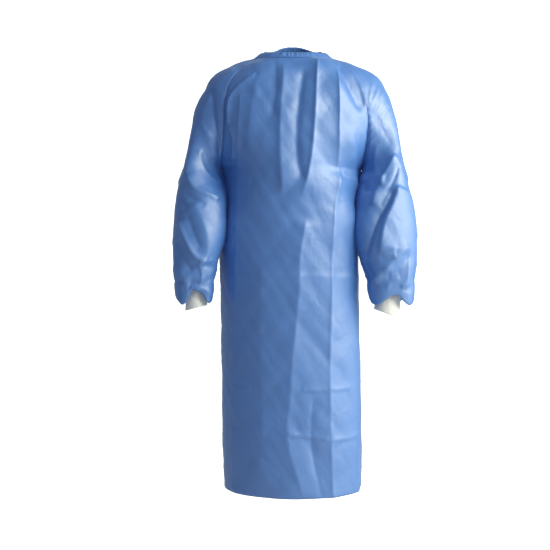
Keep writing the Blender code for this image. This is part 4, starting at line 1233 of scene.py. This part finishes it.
def add_stitches(name, line, outward, thread):
    """Row of sewn stitches along a line, each a low rounded bead that dips into the cloth at both ends."""
    settings = cloth_settings()
    walked = np.concatenate(((0.0,), np.cumsum(np.linalg.norm(np.diff(line, axis=0), axis=1))))
    length = settings.stitch_length
    middles = np.arange(0.6 * length, walked[-1] - 0.6 * length, length)
    points, faces = [], []
    sides = 6
    stations = ((-0.40, 0.35, -0.5), (-0.22, 1.0, 0.35), (0.0, 1.1, 0.5), (0.22, 1.0, 0.35), (0.40, 0.35, -0.5))
    for number, middle in enumerate(middles):
        place = [np.interp(middle, walked, line[:, k]) for k in range(3)]
        ahead = [np.interp(middle + 0.3 * length, walked, line[:, k]) for k in range(3)]
        out = np.array([np.interp(middle, walked, outward[:, k]) for k in range(3)])
        way = np.array(ahead) - np.array(place)
        way /= np.linalg.norm(way)
        across = np.cross(out, way)
        slant = 0.05 * math.sin(2.3 * number)
        start = len(points)
        for along, size, rise in stations:
            centre = np.array(place) + way * along * length + across * slant * along * length
            centre += out * rise * settings.thread_width
            for k in range(sides):
                angle = 2.0 * math.pi * k / sides
                ring = across * math.cos(angle) + out * math.sin(angle)
                points.append(centre + ring * 0.5 * settings.thread_width * size)
        for ring in range(len(stations) - 1):
            for k in range(sides):
                low, high = start + ring * sides, start + (ring + 1) * sides
                after = (k + 1) % sides
                faces.append((low + k, low + after, high + after, high + k))
        faces.append(tuple(start + k for k in range(sides))[::-1])
        faces.append(tuple(start + (len(stations) - 1) * sides + k for k in range(sides)))
    mesh = bpy.data.meshes.new(name)
    mesh.from_pydata([tuple(p) for p in points], [], faces)
    mesh.materials.append(thread)
    mesh.polygons.foreach_set("use_smooth", np.ones(len(faces), dtype=bool))
    mesh.update()
    piece = bpy.data.objects.new(name, mesh)
    bpy.context.scene.collection.objects.link(piece)
    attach(piece, "root")


def tie_piece(node, look, thread):
    """Makes a waist tie, a folded strip hanging down a back panel from where it is sewn on."""
    side, across_ends, level_ends = TIES[node]
    across = np.linspace(*across_ends, 13)
    levels = np.linspace(*level_ends, 91)
    points, normals = back_cloth(side, levels, across)
    place = np.linspace(-1.0, 1.0, 13)[None, :]
    drop = (levels[-1] - levels)[:, None] * (UNDERARM_HEIGHT - HEM_HEIGHT)
    rolled = 0.0004 * (1.0 - place**6)
    ripple = 0.0007 * np.sin(2.0 * math.pi * drop / 0.071) * np.sin(2.0 * math.pi * drop / 0.19 + place)
    centre_dip = -0.00035 * np.exp(-(((np.abs(place) - 0.72) / 0.10) ** 2))
    raised = points + normals * (0.0010 + rolled + np.abs(ripple) + centre_dip)[..., None]
    part = shell_part(raised, normals, 0.0006, np.zeros(len(levels), dtype=bool), -1.0)
    declare(add_piece(node + "_cloth", [part], look), node)
    rows = np.argmin(np.abs(drop[:, 0][:, None] - np.array((0.006, 0.024))), axis=0)
    corners = ((rows[0], 2), (rows[0], 10), (rows[1], 10), (rows[1], 2), (rows[0], 2))
    line = np.array([raised[r, c] for r, c in corners])
    line = np.concatenate([np.linspace(a, b, 9)[:-1] for a, b in zip(line[:-1], line[1:])] + [line[-1:]])
    out = np.broadcast_to(normals[rows[0], 6], line.shape)
    add_stitches(node + "_stitches", line + out * 0.0002, out, thread)


def tab_piece(look, thread):
    """Makes the hook-and-loop tab at the back of the neck."""
    across = np.linspace(*TAB_ACROSS, 25)
    levels = np.linspace(*TAB_LEVELS, 21)
    points, normals = back_cloth("left", levels, across)
    grow = np.minimum(
        ease_between(0.0, 0.08, np.linspace(0.0, 1.0, 25))[None, :], ease_between(0.0, 0.08, np.linspace(1.0, 0.0, 25))[None, :]
    )
    raised = points + normals * (0.0012 + 0.0004 * grow)[..., None]
    part = shell_part(raised, normals, 0.0011, np.zeros(len(levels), dtype=bool), -1.0)
    declare(add_piece("neck_tab_tape", [part], look), "neck_tab")
    corners = ((2, 2), (2, 22), (18, 22), (18, 2), (2, 2))
    line = np.array([raised[r, c] for r, c in corners])
    line = np.concatenate([np.linspace(a, b, 17)[:-1] for a, b in zip(line[:-1], line[1:])] + [line[-1:]])
    out = np.broadcast_to(normals[10, 12], line.shape)
    add_stitches("neck_tab_stitches", line + out * 0.0002, out, thread)


def new_group(name, inputs, outputs):
    """Empty node group with named inputs and outputs."""
    group = bpy.data.node_groups.new(name, "ShaderNodeTree")
    for label, kind, value in inputs:
        socket = group.interface.new_socket(name=label, in_out="INPUT", socket_type=kind)
        if value is not None:
            socket.default_value = value
    for label, kind in outputs:
        group.interface.new_socket(name=label, in_out="OUTPUT", socket_type=kind)
    return group, group.nodes.new("NodeGroupInput"), group.nodes.new("NodeGroupOutput")


def math_node(tree, operation, first, second=None, clamp=False):
    """Maths node joined to its values or sockets, and its output."""
    node = tree.nodes.new("ShaderNodeMath")
    node.operation = operation
    node.use_clamp = clamp
    for socket, value in zip(node.inputs, (first, second)):
        if value is None:
            continue
        if isinstance(value, (int, float)):
            socket.default_value = value
        else:
            tree.links.new(value, socket)
    return node.outputs[0]


def noise_node(tree, vector, scale, detail, roughness=0.5, distortion=0.0):
    """Noise texture and its value."""
    node = tree.nodes.new("ShaderNodeTexNoise")
    node.inputs["Scale"].default_value = scale
    node.inputs["Detail"].default_value = detail
    node.inputs["Roughness"].default_value = roughness
    node.inputs["Distortion"].default_value = distortion
    tree.links.new(vector, node.inputs["Vector"])
    return node.outputs["Fac"]


def spread_node(tree, value, low, high, to_low, to_high):
    """Value moved from one range to another, held at its ends."""
    node = tree.nodes.new("ShaderNodeMapRange")
    for name, number in (("From Min", low), ("From Max", high), ("To Min", to_low), ("To Max", to_high)):
        if isinstance(number, (int, float)):
            node.inputs[name].default_value = number
        else:
            tree.links.new(number, node.inputs[name])
    tree.links.new(value, node.inputs["Value"])
    return node.outputs["Result"]


def bond_points_group():
    """Bond points of nonwoven cloth: small sunk diamonds in staggered rows."""
    group, into, out = new_group(
        "Bond points", (("Vector", "NodeSocketVector", None), ("Pitch", "NodeSocketFloat", 0.0016)),
        (("Height", "NodeSocketFloat"), ("Point", "NodeSocketFloat")),
    )
    parts = group.nodes.new("ShaderNodeSeparateXYZ")
    group.links.new(into.outputs["Vector"], parts.inputs[0])
    turn = math_node(group, "DIVIDE", 2.0 * math.pi, into.outputs["Pitch"])
    waves = []
    for axis in ("X", "Y"):
        angle = math_node(group, "MULTIPLY", parts.outputs[axis], turn)
        waves.append(math_node(group, "COSINE", angle))
    both = math_node(group, "MULTIPLY", waves[0], waves[1])
    point = spread_node(group, both, 0.35, 0.75, 0.0, 1.0)
    fibre = noise_node(group, into.outputs["Vector"], 2600.0, 2.0, 0.7)
    height = math_node(group, "SUBTRACT", math_node(group, "MULTIPLY", fibre, 0.45), point)
    group.links.new(height, out.inputs["Height"])
    group.links.new(point, out.inputs["Point"])
    return group


def crumple_group():
    """Soft crumpling of thin cloth that was folded and handled: fine broken creases and broad swells."""
    group, into, out = new_group(
        "Crumple", (("Vector", "NodeSocketVector", None), ("Size", "NodeSocketFloat", 1.0)),
        (("Height", "NodeSocketFloat"), ("Crease", "NodeSocketFloat")),
    )
    scaled = group.nodes.new("ShaderNodeVectorMath")
    scaled.operation = "SCALE"
    group.links.new(into.outputs["Vector"], scaled.inputs[0])
    group.links.new(into.outputs["Size"], scaled.inputs["Scale"])
    warp = group.nodes.new("ShaderNodeTexNoise")
    warp.inputs["Scale"].default_value = 14.0
    warp.inputs["Detail"].default_value = 3.0
    group.links.new(scaled.outputs[0], warp.inputs["Vector"])
    bent = group.nodes.new("ShaderNodeVectorMath")
    bent.operation = "MULTIPLY_ADD"
    group.links.new(warp.outputs["Color"], bent.inputs[0])
    bent.inputs[1].default_value = (0.050, 0.050, 0.050)
    group.links.new(scaled.outputs[0], bent.inputs[2])
    creases = []
    for scale in (17.0, 38.0):
        cells = group.nodes.new("ShaderNodeTexVoronoi")
        cells.feature = "DISTANCE_TO_EDGE"
        cells.inputs["Scale"].default_value = scale
        group.links.new(bent.outputs[0], cells.inputs["Vector"])
        creases.append(spread_node(group, cells.outputs["Distance"], 0.0, 0.16, 1.0, 0.0))
    patchy = spread_node(group, noise_node(group, scaled.outputs[0], 9.0, 2.0), 0.42, 0.66, 0.0, 1.0)
    fine = math_node(group, "MULTIPLY", math_node(group, "MULTIPLY", creases[1], 0.35), patchy)
    crease = math_node(group, "ADD", math_node(group, "MULTIPLY", creases[0], patchy), fine, clamp=True)
    swell = noise_node(group, bent.outputs[0], 26.0, 4.0, 0.55)
    height = math_node(group, "ADD", math_node(group, "MULTIPLY", crease, 0.30), swell)
    group.links.new(height, out.inputs["Height"])
    group.links.new(crease, out.inputs["Crease"])
    return group


def mottle_group():
    """Uneven colour: a colour drawn a little lighter and darker in cloudy patches, and a little darker where the Mark
    input is high.
    """
    group, into, out = new_group(
        "Mottle",
        (
            ("Vector", "NodeSocketVector", None),
            ("Colour", "NodeSocketColor", (0.5, 0.5, 0.5, 1.0)),
            ("Mark", "NodeSocketFloat", 0.0),
            ("Unevenness", "NodeSocketFloat", 0.10),
        ),
        (("Colour", "NodeSocketColor"), ("Cloud", "NodeSocketFloat")),
    )
    cloud = noise_node(group, into.outputs["Vector"], 7.0, 5.0, 0.6)
    value = math_node(group, "SUBTRACT", cloud, 0.5)
    value = math_node(group, "MULTIPLY", value, into.outputs["Unevenness"])
    value = math_node(group, "ADD", math_node(group, "MULTIPLY", value, 2.0), 1.0)
    # A little darker where Mark is high; the gown cloth feeds in its sunk bond points here
    value = math_node(group, "SUBTRACT", value, math_node(group, "MULTIPLY", into.outputs["Mark"], 0.06))
    hue = group.nodes.new("ShaderNodeHueSaturation")
    group.links.new(value, hue.inputs["Value"])
    group.links.new(into.outputs["Colour"], hue.inputs["Color"])
    group.links.new(hue.outputs[0], out.inputs["Colour"])
    group.links.new(cloud, out.inputs["Cloud"])
    return group


def shared_group(name):
    """Node group by name, made the first time that it is asked for."""
    makers = {"Bond points": bond_points_group, "Crumple": crumple_group, "Mottle": mottle_group}
    return bpy.data.node_groups.get(name) or makers[name]()


def group_node(tree, name, links, values=()):
    """Node of a shared group, joined and set."""
    node = tree.nodes.new("ShaderNodeGroup")
    node.node_tree = shared_group(name)
    for label, socket in links:
        tree.links.new(socket, node.inputs[label])
    for label, value in values:
        node.inputs[label].default_value = value
    return node


def bump_node(tree, height, strength, distance, before=None):
    """Bump from a height, on top of an earlier one."""
    node = tree.nodes.new("ShaderNodeBump")
    node.inputs["Strength"].default_value = strength
    node.inputs["Distance"].default_value = distance
    tree.links.new(height, node.inputs["Height"])
    if before is not None:
        tree.links.new(before, node.inputs["Normal"])
    return node.outputs["Normal"]


def new_material(name):
    """Material with a plain shader, its tree, and where its cloth map and its place in space come out."""
    material = bpy.data.materials.new(name)
    material.use_nodes = True
    tree = material.node_tree
    place = tree.nodes.new("ShaderNodeTexCoord")
    cloth_map = tree.nodes.new("ShaderNodeUVMap")
    cloth_map.uv_map = "cloth_map"
    return material, tree, tree.nodes["Principled BSDF"], cloth_map.outputs["UV"], place.outputs["Object"]


def cloth_material(name, colour, crumple_size, sheen):
    """Nonwoven cloth: bond points, crumpling, cloudy colour and a satin sheen."""
    looks = look_settings()
    material, tree, shader, cloth_map, place = new_material(name)
    crumple = group_node(tree, "Crumple", (("Vector", place),), (("Size", crumple_size),))
    bonds = group_node(tree, "Bond points", (("Vector", cloth_map),), (("Pitch", looks.bond_pitch),))
    mottle = group_node(
        tree, "Mottle", (("Vector", place), ("Mark", bonds.outputs["Point"])), (("Colour", colour), ("Unevenness", 0.09))
    )
    tree.links.new(mottle.outputs["Colour"], shader.inputs["Base Color"])
    rough = looks.cloth_roughness
    roughness = spread_node(tree, mottle.outputs["Cloud"], 0.3, 0.7, rough - 0.05, rough + 0.08)
    tree.links.new(roughness, shader.inputs["Roughness"])
    normal = bump_node(tree, crumple.outputs["Height"], 0.38, 0.0030)
    normal = bump_node(tree, bonds.outputs["Height"], 0.30, 0.00012, normal)
    tree.links.new(normal, shader.inputs["Normal"])
    shader.inputs["Sheen Weight"].default_value = sheen
    shader.inputs["Sheen Roughness"].default_value = 0.35
    shader.inputs["Sheen Tint"].default_value = (0.72, 0.86, 1.0, 1.0)
    shader.inputs["Specular IOR Level"].default_value = 1.0
    shader.inputs["IOR"].default_value = 1.65
    return material


def knit_material():
    """Ribbed cotton knit: small loops along the ribs."""
    looks = look_settings()
    material, tree, shader, cloth_map, place = new_material("rib_knit")
    parts = tree.nodes.new("ShaderNodeSeparateXYZ")
    tree.links.new(cloth_map, parts.inputs[0])
    rows = math_node(tree, "SINE", math_node(tree, "MULTIPLY", parts.outputs["Y"], 2.0 * math.pi / 0.0011))
    loops = math_node(tree, "SINE", math_node(tree, "MULTIPLY", parts.outputs["X"], 2.0 * math.pi / 0.0012))
    loop = math_node(tree, "MULTIPLY", rows, loops)
    fuzz = noise_node(tree, place, 900.0, 3.0, 0.7)
    height = math_node(tree, "ADD", math_node(tree, "MULTIPLY", loop, 0.5), fuzz)
    mottle = group_node(tree, "Mottle", (("Vector", place),), (("Colour", looks.knit_colour), ("Unevenness", 0.05)))
    tree.links.new(mottle.outputs["Colour"], shader.inputs["Base Color"])
    tree.links.new(spread_node(tree, fuzz, 0.2, 0.8, 0.82, 0.95), shader.inputs["Roughness"])
    tree.links.new(bump_node(tree, height, 0.6, 0.0004), shader.inputs["Normal"])
    shader.inputs["Sheen Weight"].default_value = 0.25
    shader.inputs["Sheen Roughness"].default_value = 0.6
    return material


def tape_material():
    """Hook-and-loop tape: a close nap of small hooks."""
    looks = look_settings()
    material, tree, shader, cloth_map, place = new_material("hook_tape")
    cells = tree.nodes.new("ShaderNodeTexVoronoi")
    cells.inputs["Scale"].default_value = 900.0
    tree.links.new(cloth_map, cells.inputs["Vector"])
    mottle = group_node(tree, "Mottle", (("Vector", place),), (("Colour", looks.tape_colour), ("Unevenness", 0.06)))
    tree.links.new(mottle.outputs["Colour"], shader.inputs["Base Color"])
    tree.links.new(spread_node(tree, cells.outputs["Distance"], 0.0, 0.6, 0.7, 0.9), shader.inputs["Roughness"])
    tree.links.new(bump_node(tree, cells.outputs["Distance"], 0.8, 0.0006), shader.inputs["Normal"])
    shader.inputs["Sheen Weight"].default_value = 0.15
    return material


def thread_material():
    """Sewing thread: fine twisted yarn in the cloth's colour."""
    looks = look_settings()
    material, tree, shader, cloth_map, place = new_material("sewing_thread")
    twist = noise_node(tree, place, 2400.0, 2.0, 0.5, 0.6)
    lighter = tuple(min(1.0, 1.5 * c + 0.05) for c in looks.cloth_colour[:3]) + (1.0,)
    mottle = group_node(tree, "Mottle", (("Vector", place),), (("Colour", lighter), ("Unevenness", 0.08)))
    tree.links.new(mottle.outputs["Colour"], shader.inputs["Base Color"])
    tree.links.new(spread_node(tree, twist, 0.3, 0.7, 0.45, 0.62), shader.inputs["Roughness"])
    tree.links.new(bump_node(tree, twist, 0.5, 0.0002), shader.inputs["Normal"])
    return material


def stage_material():
    """Pale matt paper of the studio floor and backdrop."""
    material, tree, shader, cloth_map, place = new_material("studio_paper")
    tone = noise_node(tree, place, 3.0, 3.0)
    mottle = group_node(tree, "Mottle", (("Vector", place),), (("Colour", (0.72, 0.72, 0.72, 1.0)), ("Unevenness", 0.01)))
    tree.links.new(mottle.outputs["Colour"], shader.inputs["Base Color"])
    tree.links.new(spread_node(tree, tone, 0.2, 0.8, 0.85, 0.95), shader.inputs["Roughness"])
    tree.links.new(mottle.outputs["Colour"], shader.inputs["Emission Color"])
    seen = tree.nodes.new("ShaderNodeLightPath").outputs["Is Camera Ray"]
    tree.links.new(spread_node(tree, seen, 0.0, 1.0, 0.0, stage_settings().paper_glow), shader.inputs["Emission Strength"])
    return material


def material_named(name):
    """Material by name, made the first time that it is asked for."""
    looks = look_settings()
    makers = {
        "gown_cloth": lambda: cloth_material("gown_cloth", looks.cloth_colour, 1.0, looks.cloth_sheen),
        "gown_cloth_inside": lambda: cloth_material("gown_cloth_inside", looks.inside_colour, 1.0, 0.15),
        "binding_cloth": lambda: cloth_material("binding_cloth", looks.cloth_colour, 2.2, looks.cloth_sheen),
        "rib_knit": knit_material,
        "hook_tape": tape_material,
        "sewing_thread": thread_material,
        "studio_paper": stage_material,
    }
    return bpy.data.materials.get(name) or makers[name]()


def body_across(name):
    """Places across the front or a back where its columns of points stand."""
    if name == "front_panel":
        return mirrored(crowded(FRONT_COLUMNS_HALF))
    seam_half = crowded(BACK_COLUMNS_HALF)
    free_part = np.linspace(0.0, OVERLAP, 26)[1:]
    across = np.concatenate((-free_part[::-1], seam_half))
    return across if name == "back_panel_left" else -across[::-1]


def make_body():
    """Front and backs. Their top rows are kept for the neck binding."""
    look = (material_named("gown_cloth"), material_named("gown_cloth_inside"))
    tops = {"front": body_piece("front_panel", "front", None, body_across("front_panel"), look)}
    for side in OUTWARD:
        name = "back_panel_" + side
        tops[side] = body_piece(name, "back", side, body_across(name), look)
    return tops


def neck_path():
    """Neck edge of the panels, from the right back's free edge round the front to the left back's free edge."""
    level = np.array((1.996, 2.0))
    right_back = back_cloth("right", level, body_across("back_panel_right"))[0][-1]
    left_back = back_cloth("left", level, body_across("back_panel_left"))[0][-1]
    front = body_cloth("front", level, body_across("front_panel"))[0][-1]
    sleeves = {side: sleeve_cloth(side)[0][-1] for side in OUTWARD}
    return np.vstack(
        (right_back[::-1], sleeves["right"][::-1][1:-1], front, sleeves["left"][1:-1], left_back[::-1])
    )


class GOWN_OT_body(Operator):
    """Makes the front and both backs of the gown"""

    bl_idname = "gown.body"
    bl_label = "Front and backs"

    def execute(self, context):
        make_body()
        return {"FINISHED"}


class GOWN_OT_sleeves(Operator):
    """Makes both raglan sleeves, with the cloth rolled over the cuffs"""

    bl_idname = "gown.sleeves"
    bl_label = "Sleeves"

    def execute(self, context):
        look = (material_named("gown_cloth"), material_named("gown_cloth_inside"))
        for side in OUTWARD:
            sleeve_piece(side, look)
        return {"FINISHED"}


class GOWN_OT_cuffs(Operator):
    """Makes both knit cuffs"""

    bl_idname = "gown.cuffs"
    bl_label = "Knit cuffs"

    def execute(self, context):
        for side in OUTWARD:
            cuff_piece(side, (material_named("rib_knit"),))
        return {"FINISHED"}


class GOWN_OT_binding(Operator):
    """Makes the neck binding with its stitches"""

    bl_idname = "gown.binding"
    bl_label = "Neck binding"

    def execute(self, context):
        look = (material_named("binding_cloth"),)
        binding_piece(neck_path(), look, material_named("sewing_thread"))
        return {"FINISHED"}


class GOWN_OT_closing(Operator):
    """Makes the waist ties and the hook-and-loop tab on the back"""

    bl_idname = "gown.closing"
    bl_label = "Ties and tab"

    def execute(self, context):
        thread = material_named("sewing_thread")
        for node in TIES:
            tie_piece(node, (material_named("binding_cloth"),), thread)
        tab_piece((material_named("hook_tape"),), thread)
        return {"FINISHED"}


class GOWN_OT_stage(Operator):
    """Makes the camera, the soft lights, the white surround and the pale floor"""

    bl_idname = "gown.stage"
    bl_label = "Camera, lights and floor"

    def execute(self, context):
        make_floor()
        make_camera()
        make_lights()
        return {"FINISHED"}


def make_floor():
    """Pale floor that sweeps up into a backdrop."""
    settings = stage_settings()
    half, front, back, bend, wall = 6.0, -6.0, 2.6, 1.2, 4.0
    line = [(front, 0.0)]
    for k in range(13):
        angle = 0.5 * math.pi * k / 12.0
        line.append((back + bend * math.sin(angle), bend * (1.0 - math.cos(angle))))
    line.append((back + bend, wall))
    points = [(x, y, settings.floor_height + z) for y, z in line for x in (-half, half)]
    faces = [(2 * k, 2 * k + 1, 2 * k + 3, 2 * k + 2) for k in range(len(line) - 1)]
    mesh = bpy.data.meshes.new("studio_floor")
    mesh.from_pydata(points, [], faces)
    mesh.polygons.foreach_set("use_smooth", np.ones(len(faces), dtype=bool))
    mesh.materials.append(material_named("studio_paper"))
    floor = bpy.data.objects.new("studio_floor", mesh)
    bpy.context.scene.collection.objects.link(floor)


def make_camera():
    """Camera level with the middle of the gown, straight in front of it."""
    settings = stage_settings()
    data = bpy.data.cameras.new("photo_camera")
    data.sensor_width = 36.0
    data.lens = settings.camera_lens
    camera = bpy.data.objects.new("photo_camera", data)
    camera.location = settings.camera_place
    camera.rotation_euler = (0.5 * math.pi, 0.0, 0.0)
    bpy.context.scene.collection.objects.link(camera)
    bpy.context.scene.camera = camera


def add_area_light(name, place, target, size, power, colour):
    """Soft square light that looks at a point."""
    data = bpy.data.lights.new(name, "AREA")
    data.shape = "SQUARE"
    data.size = size
    data.energy = power
    data.color = colour
    light = bpy.data.objects.new(name, data)
    light.location = place
    way = np.array(target) - np.array(place)
    flat = math.hypot(way[0], way[1])
    light.rotation_euler = (math.atan2(flat, -way[2]), 0.0, math.atan2(-way[0], way[1]))
    bpy.context.scene.collection.objects.link(light)
    return light


def make_lights():
    """Large soft light from the viewer's right, a weak one from the left, and a white surround."""
    settings = stage_settings()
    add_area_light("key_light", (2.25, -1.62, 0.80), (0.0, 0.0, -0.6), 1.3, settings.key_power, (1.0, 0.98, 0.76))
    add_area_light("side_light", (2.9, -0.45, 0.0), (0.0, 0.0, -0.65), 1.8, settings.side_power, (1.0, 0.99, 0.80))
    add_area_light("fill_light", (-2.4, -2.2, -0.2), (0.0, 0.0, -0.6), 2.0, settings.fill_power, (0.95, 0.98, 1.0))
    world = bpy.data.worlds.new("white_surround")
    world.use_nodes = True
    tree = world.node_tree
    background = tree.nodes["Background"]
    background.inputs["Color"].default_value = (0.74, 0.84, 1.0, 1.0)
    way = tree.nodes.new("ShaderNodeSeparateXYZ")
    tree.links.new(tree.nodes.new("ShaderNodeTexCoord").outputs["Generated"], way.inputs[0])
    sky = spread_node(tree, way.outputs["X"], -0.9, 0.9, 0.70 * settings.sky_strength, 1.6 * settings.sky_strength)
    seen = tree.nodes.new("ShaderNodeLightPath").outputs["Is Camera Ray"]
    tree.links.new(math_node(tree, "MAXIMUM", sky, seen), background.inputs["Strength"])
    bpy.context.scene.world = world
    bpy.context.scene.view_settings.view_transform = "Standard"


class GOWN_PT_panel(Panel):
    """Lists the pieces of the gown and the settings they are made from"""

    bl_idname = "GOWN_PT_panel"
    bl_label = "Surgical gown"
    bl_space_type = "VIEW_3D"
    bl_region_type = "UI"
    bl_category = "Gown"

    def draw(self, context):
        layout = self.layout
        for operator in PIECE_OPERATORS:
            layout.operator(operator.bl_idname)
        for group in (context.scene.gown_cloth, context.scene.gown_look, context.scene.gown_stage):
            box = layout.box()
            for name in group.__annotations__:
                box.prop(group, name)


PIECE_OPERATORS = (
    GOWN_OT_body, GOWN_OT_sleeves, GOWN_OT_cuffs, GOWN_OT_binding, GOWN_OT_closing, GOWN_OT_stage,
)
SETTINGS = (("gown_cloth", ClothSettings), ("gown_look", LookSettings), ("gown_stage", StageSettings))


def register():
    """Registers the settings, the operators and the panel."""
    for name, group in SETTINGS:
        bpy.utils.register_class(group)
        setattr(bpy.types.Scene, name, PointerProperty(type=group))
    for operator in PIECE_OPERATORS:
        bpy.utils.register_class(operator)
    bpy.utils.register_class(GOWN_PT_panel)


def unregister():
    """Takes back what register adds."""
    bpy.utils.unregister_class(GOWN_PT_panel)
    for operator in reversed(PIECE_OPERATORS):
        bpy.utils.unregister_class(operator)
    for name, group in reversed(SETTINGS):
        delattr(bpy.types.Scene, name)
        bpy.utils.unregister_class(group)


def main():
    """Makes every piece and the stage."""
    register()
    bpy.ops.gown.body()
    bpy.ops.gown.sleeves()
    bpy.ops.gown.cuffs()
    bpy.ops.gown.binding()
    bpy.ops.gown.closing()
    bpy.ops.gown.stage()


if __name__ == "__main__":
    main()
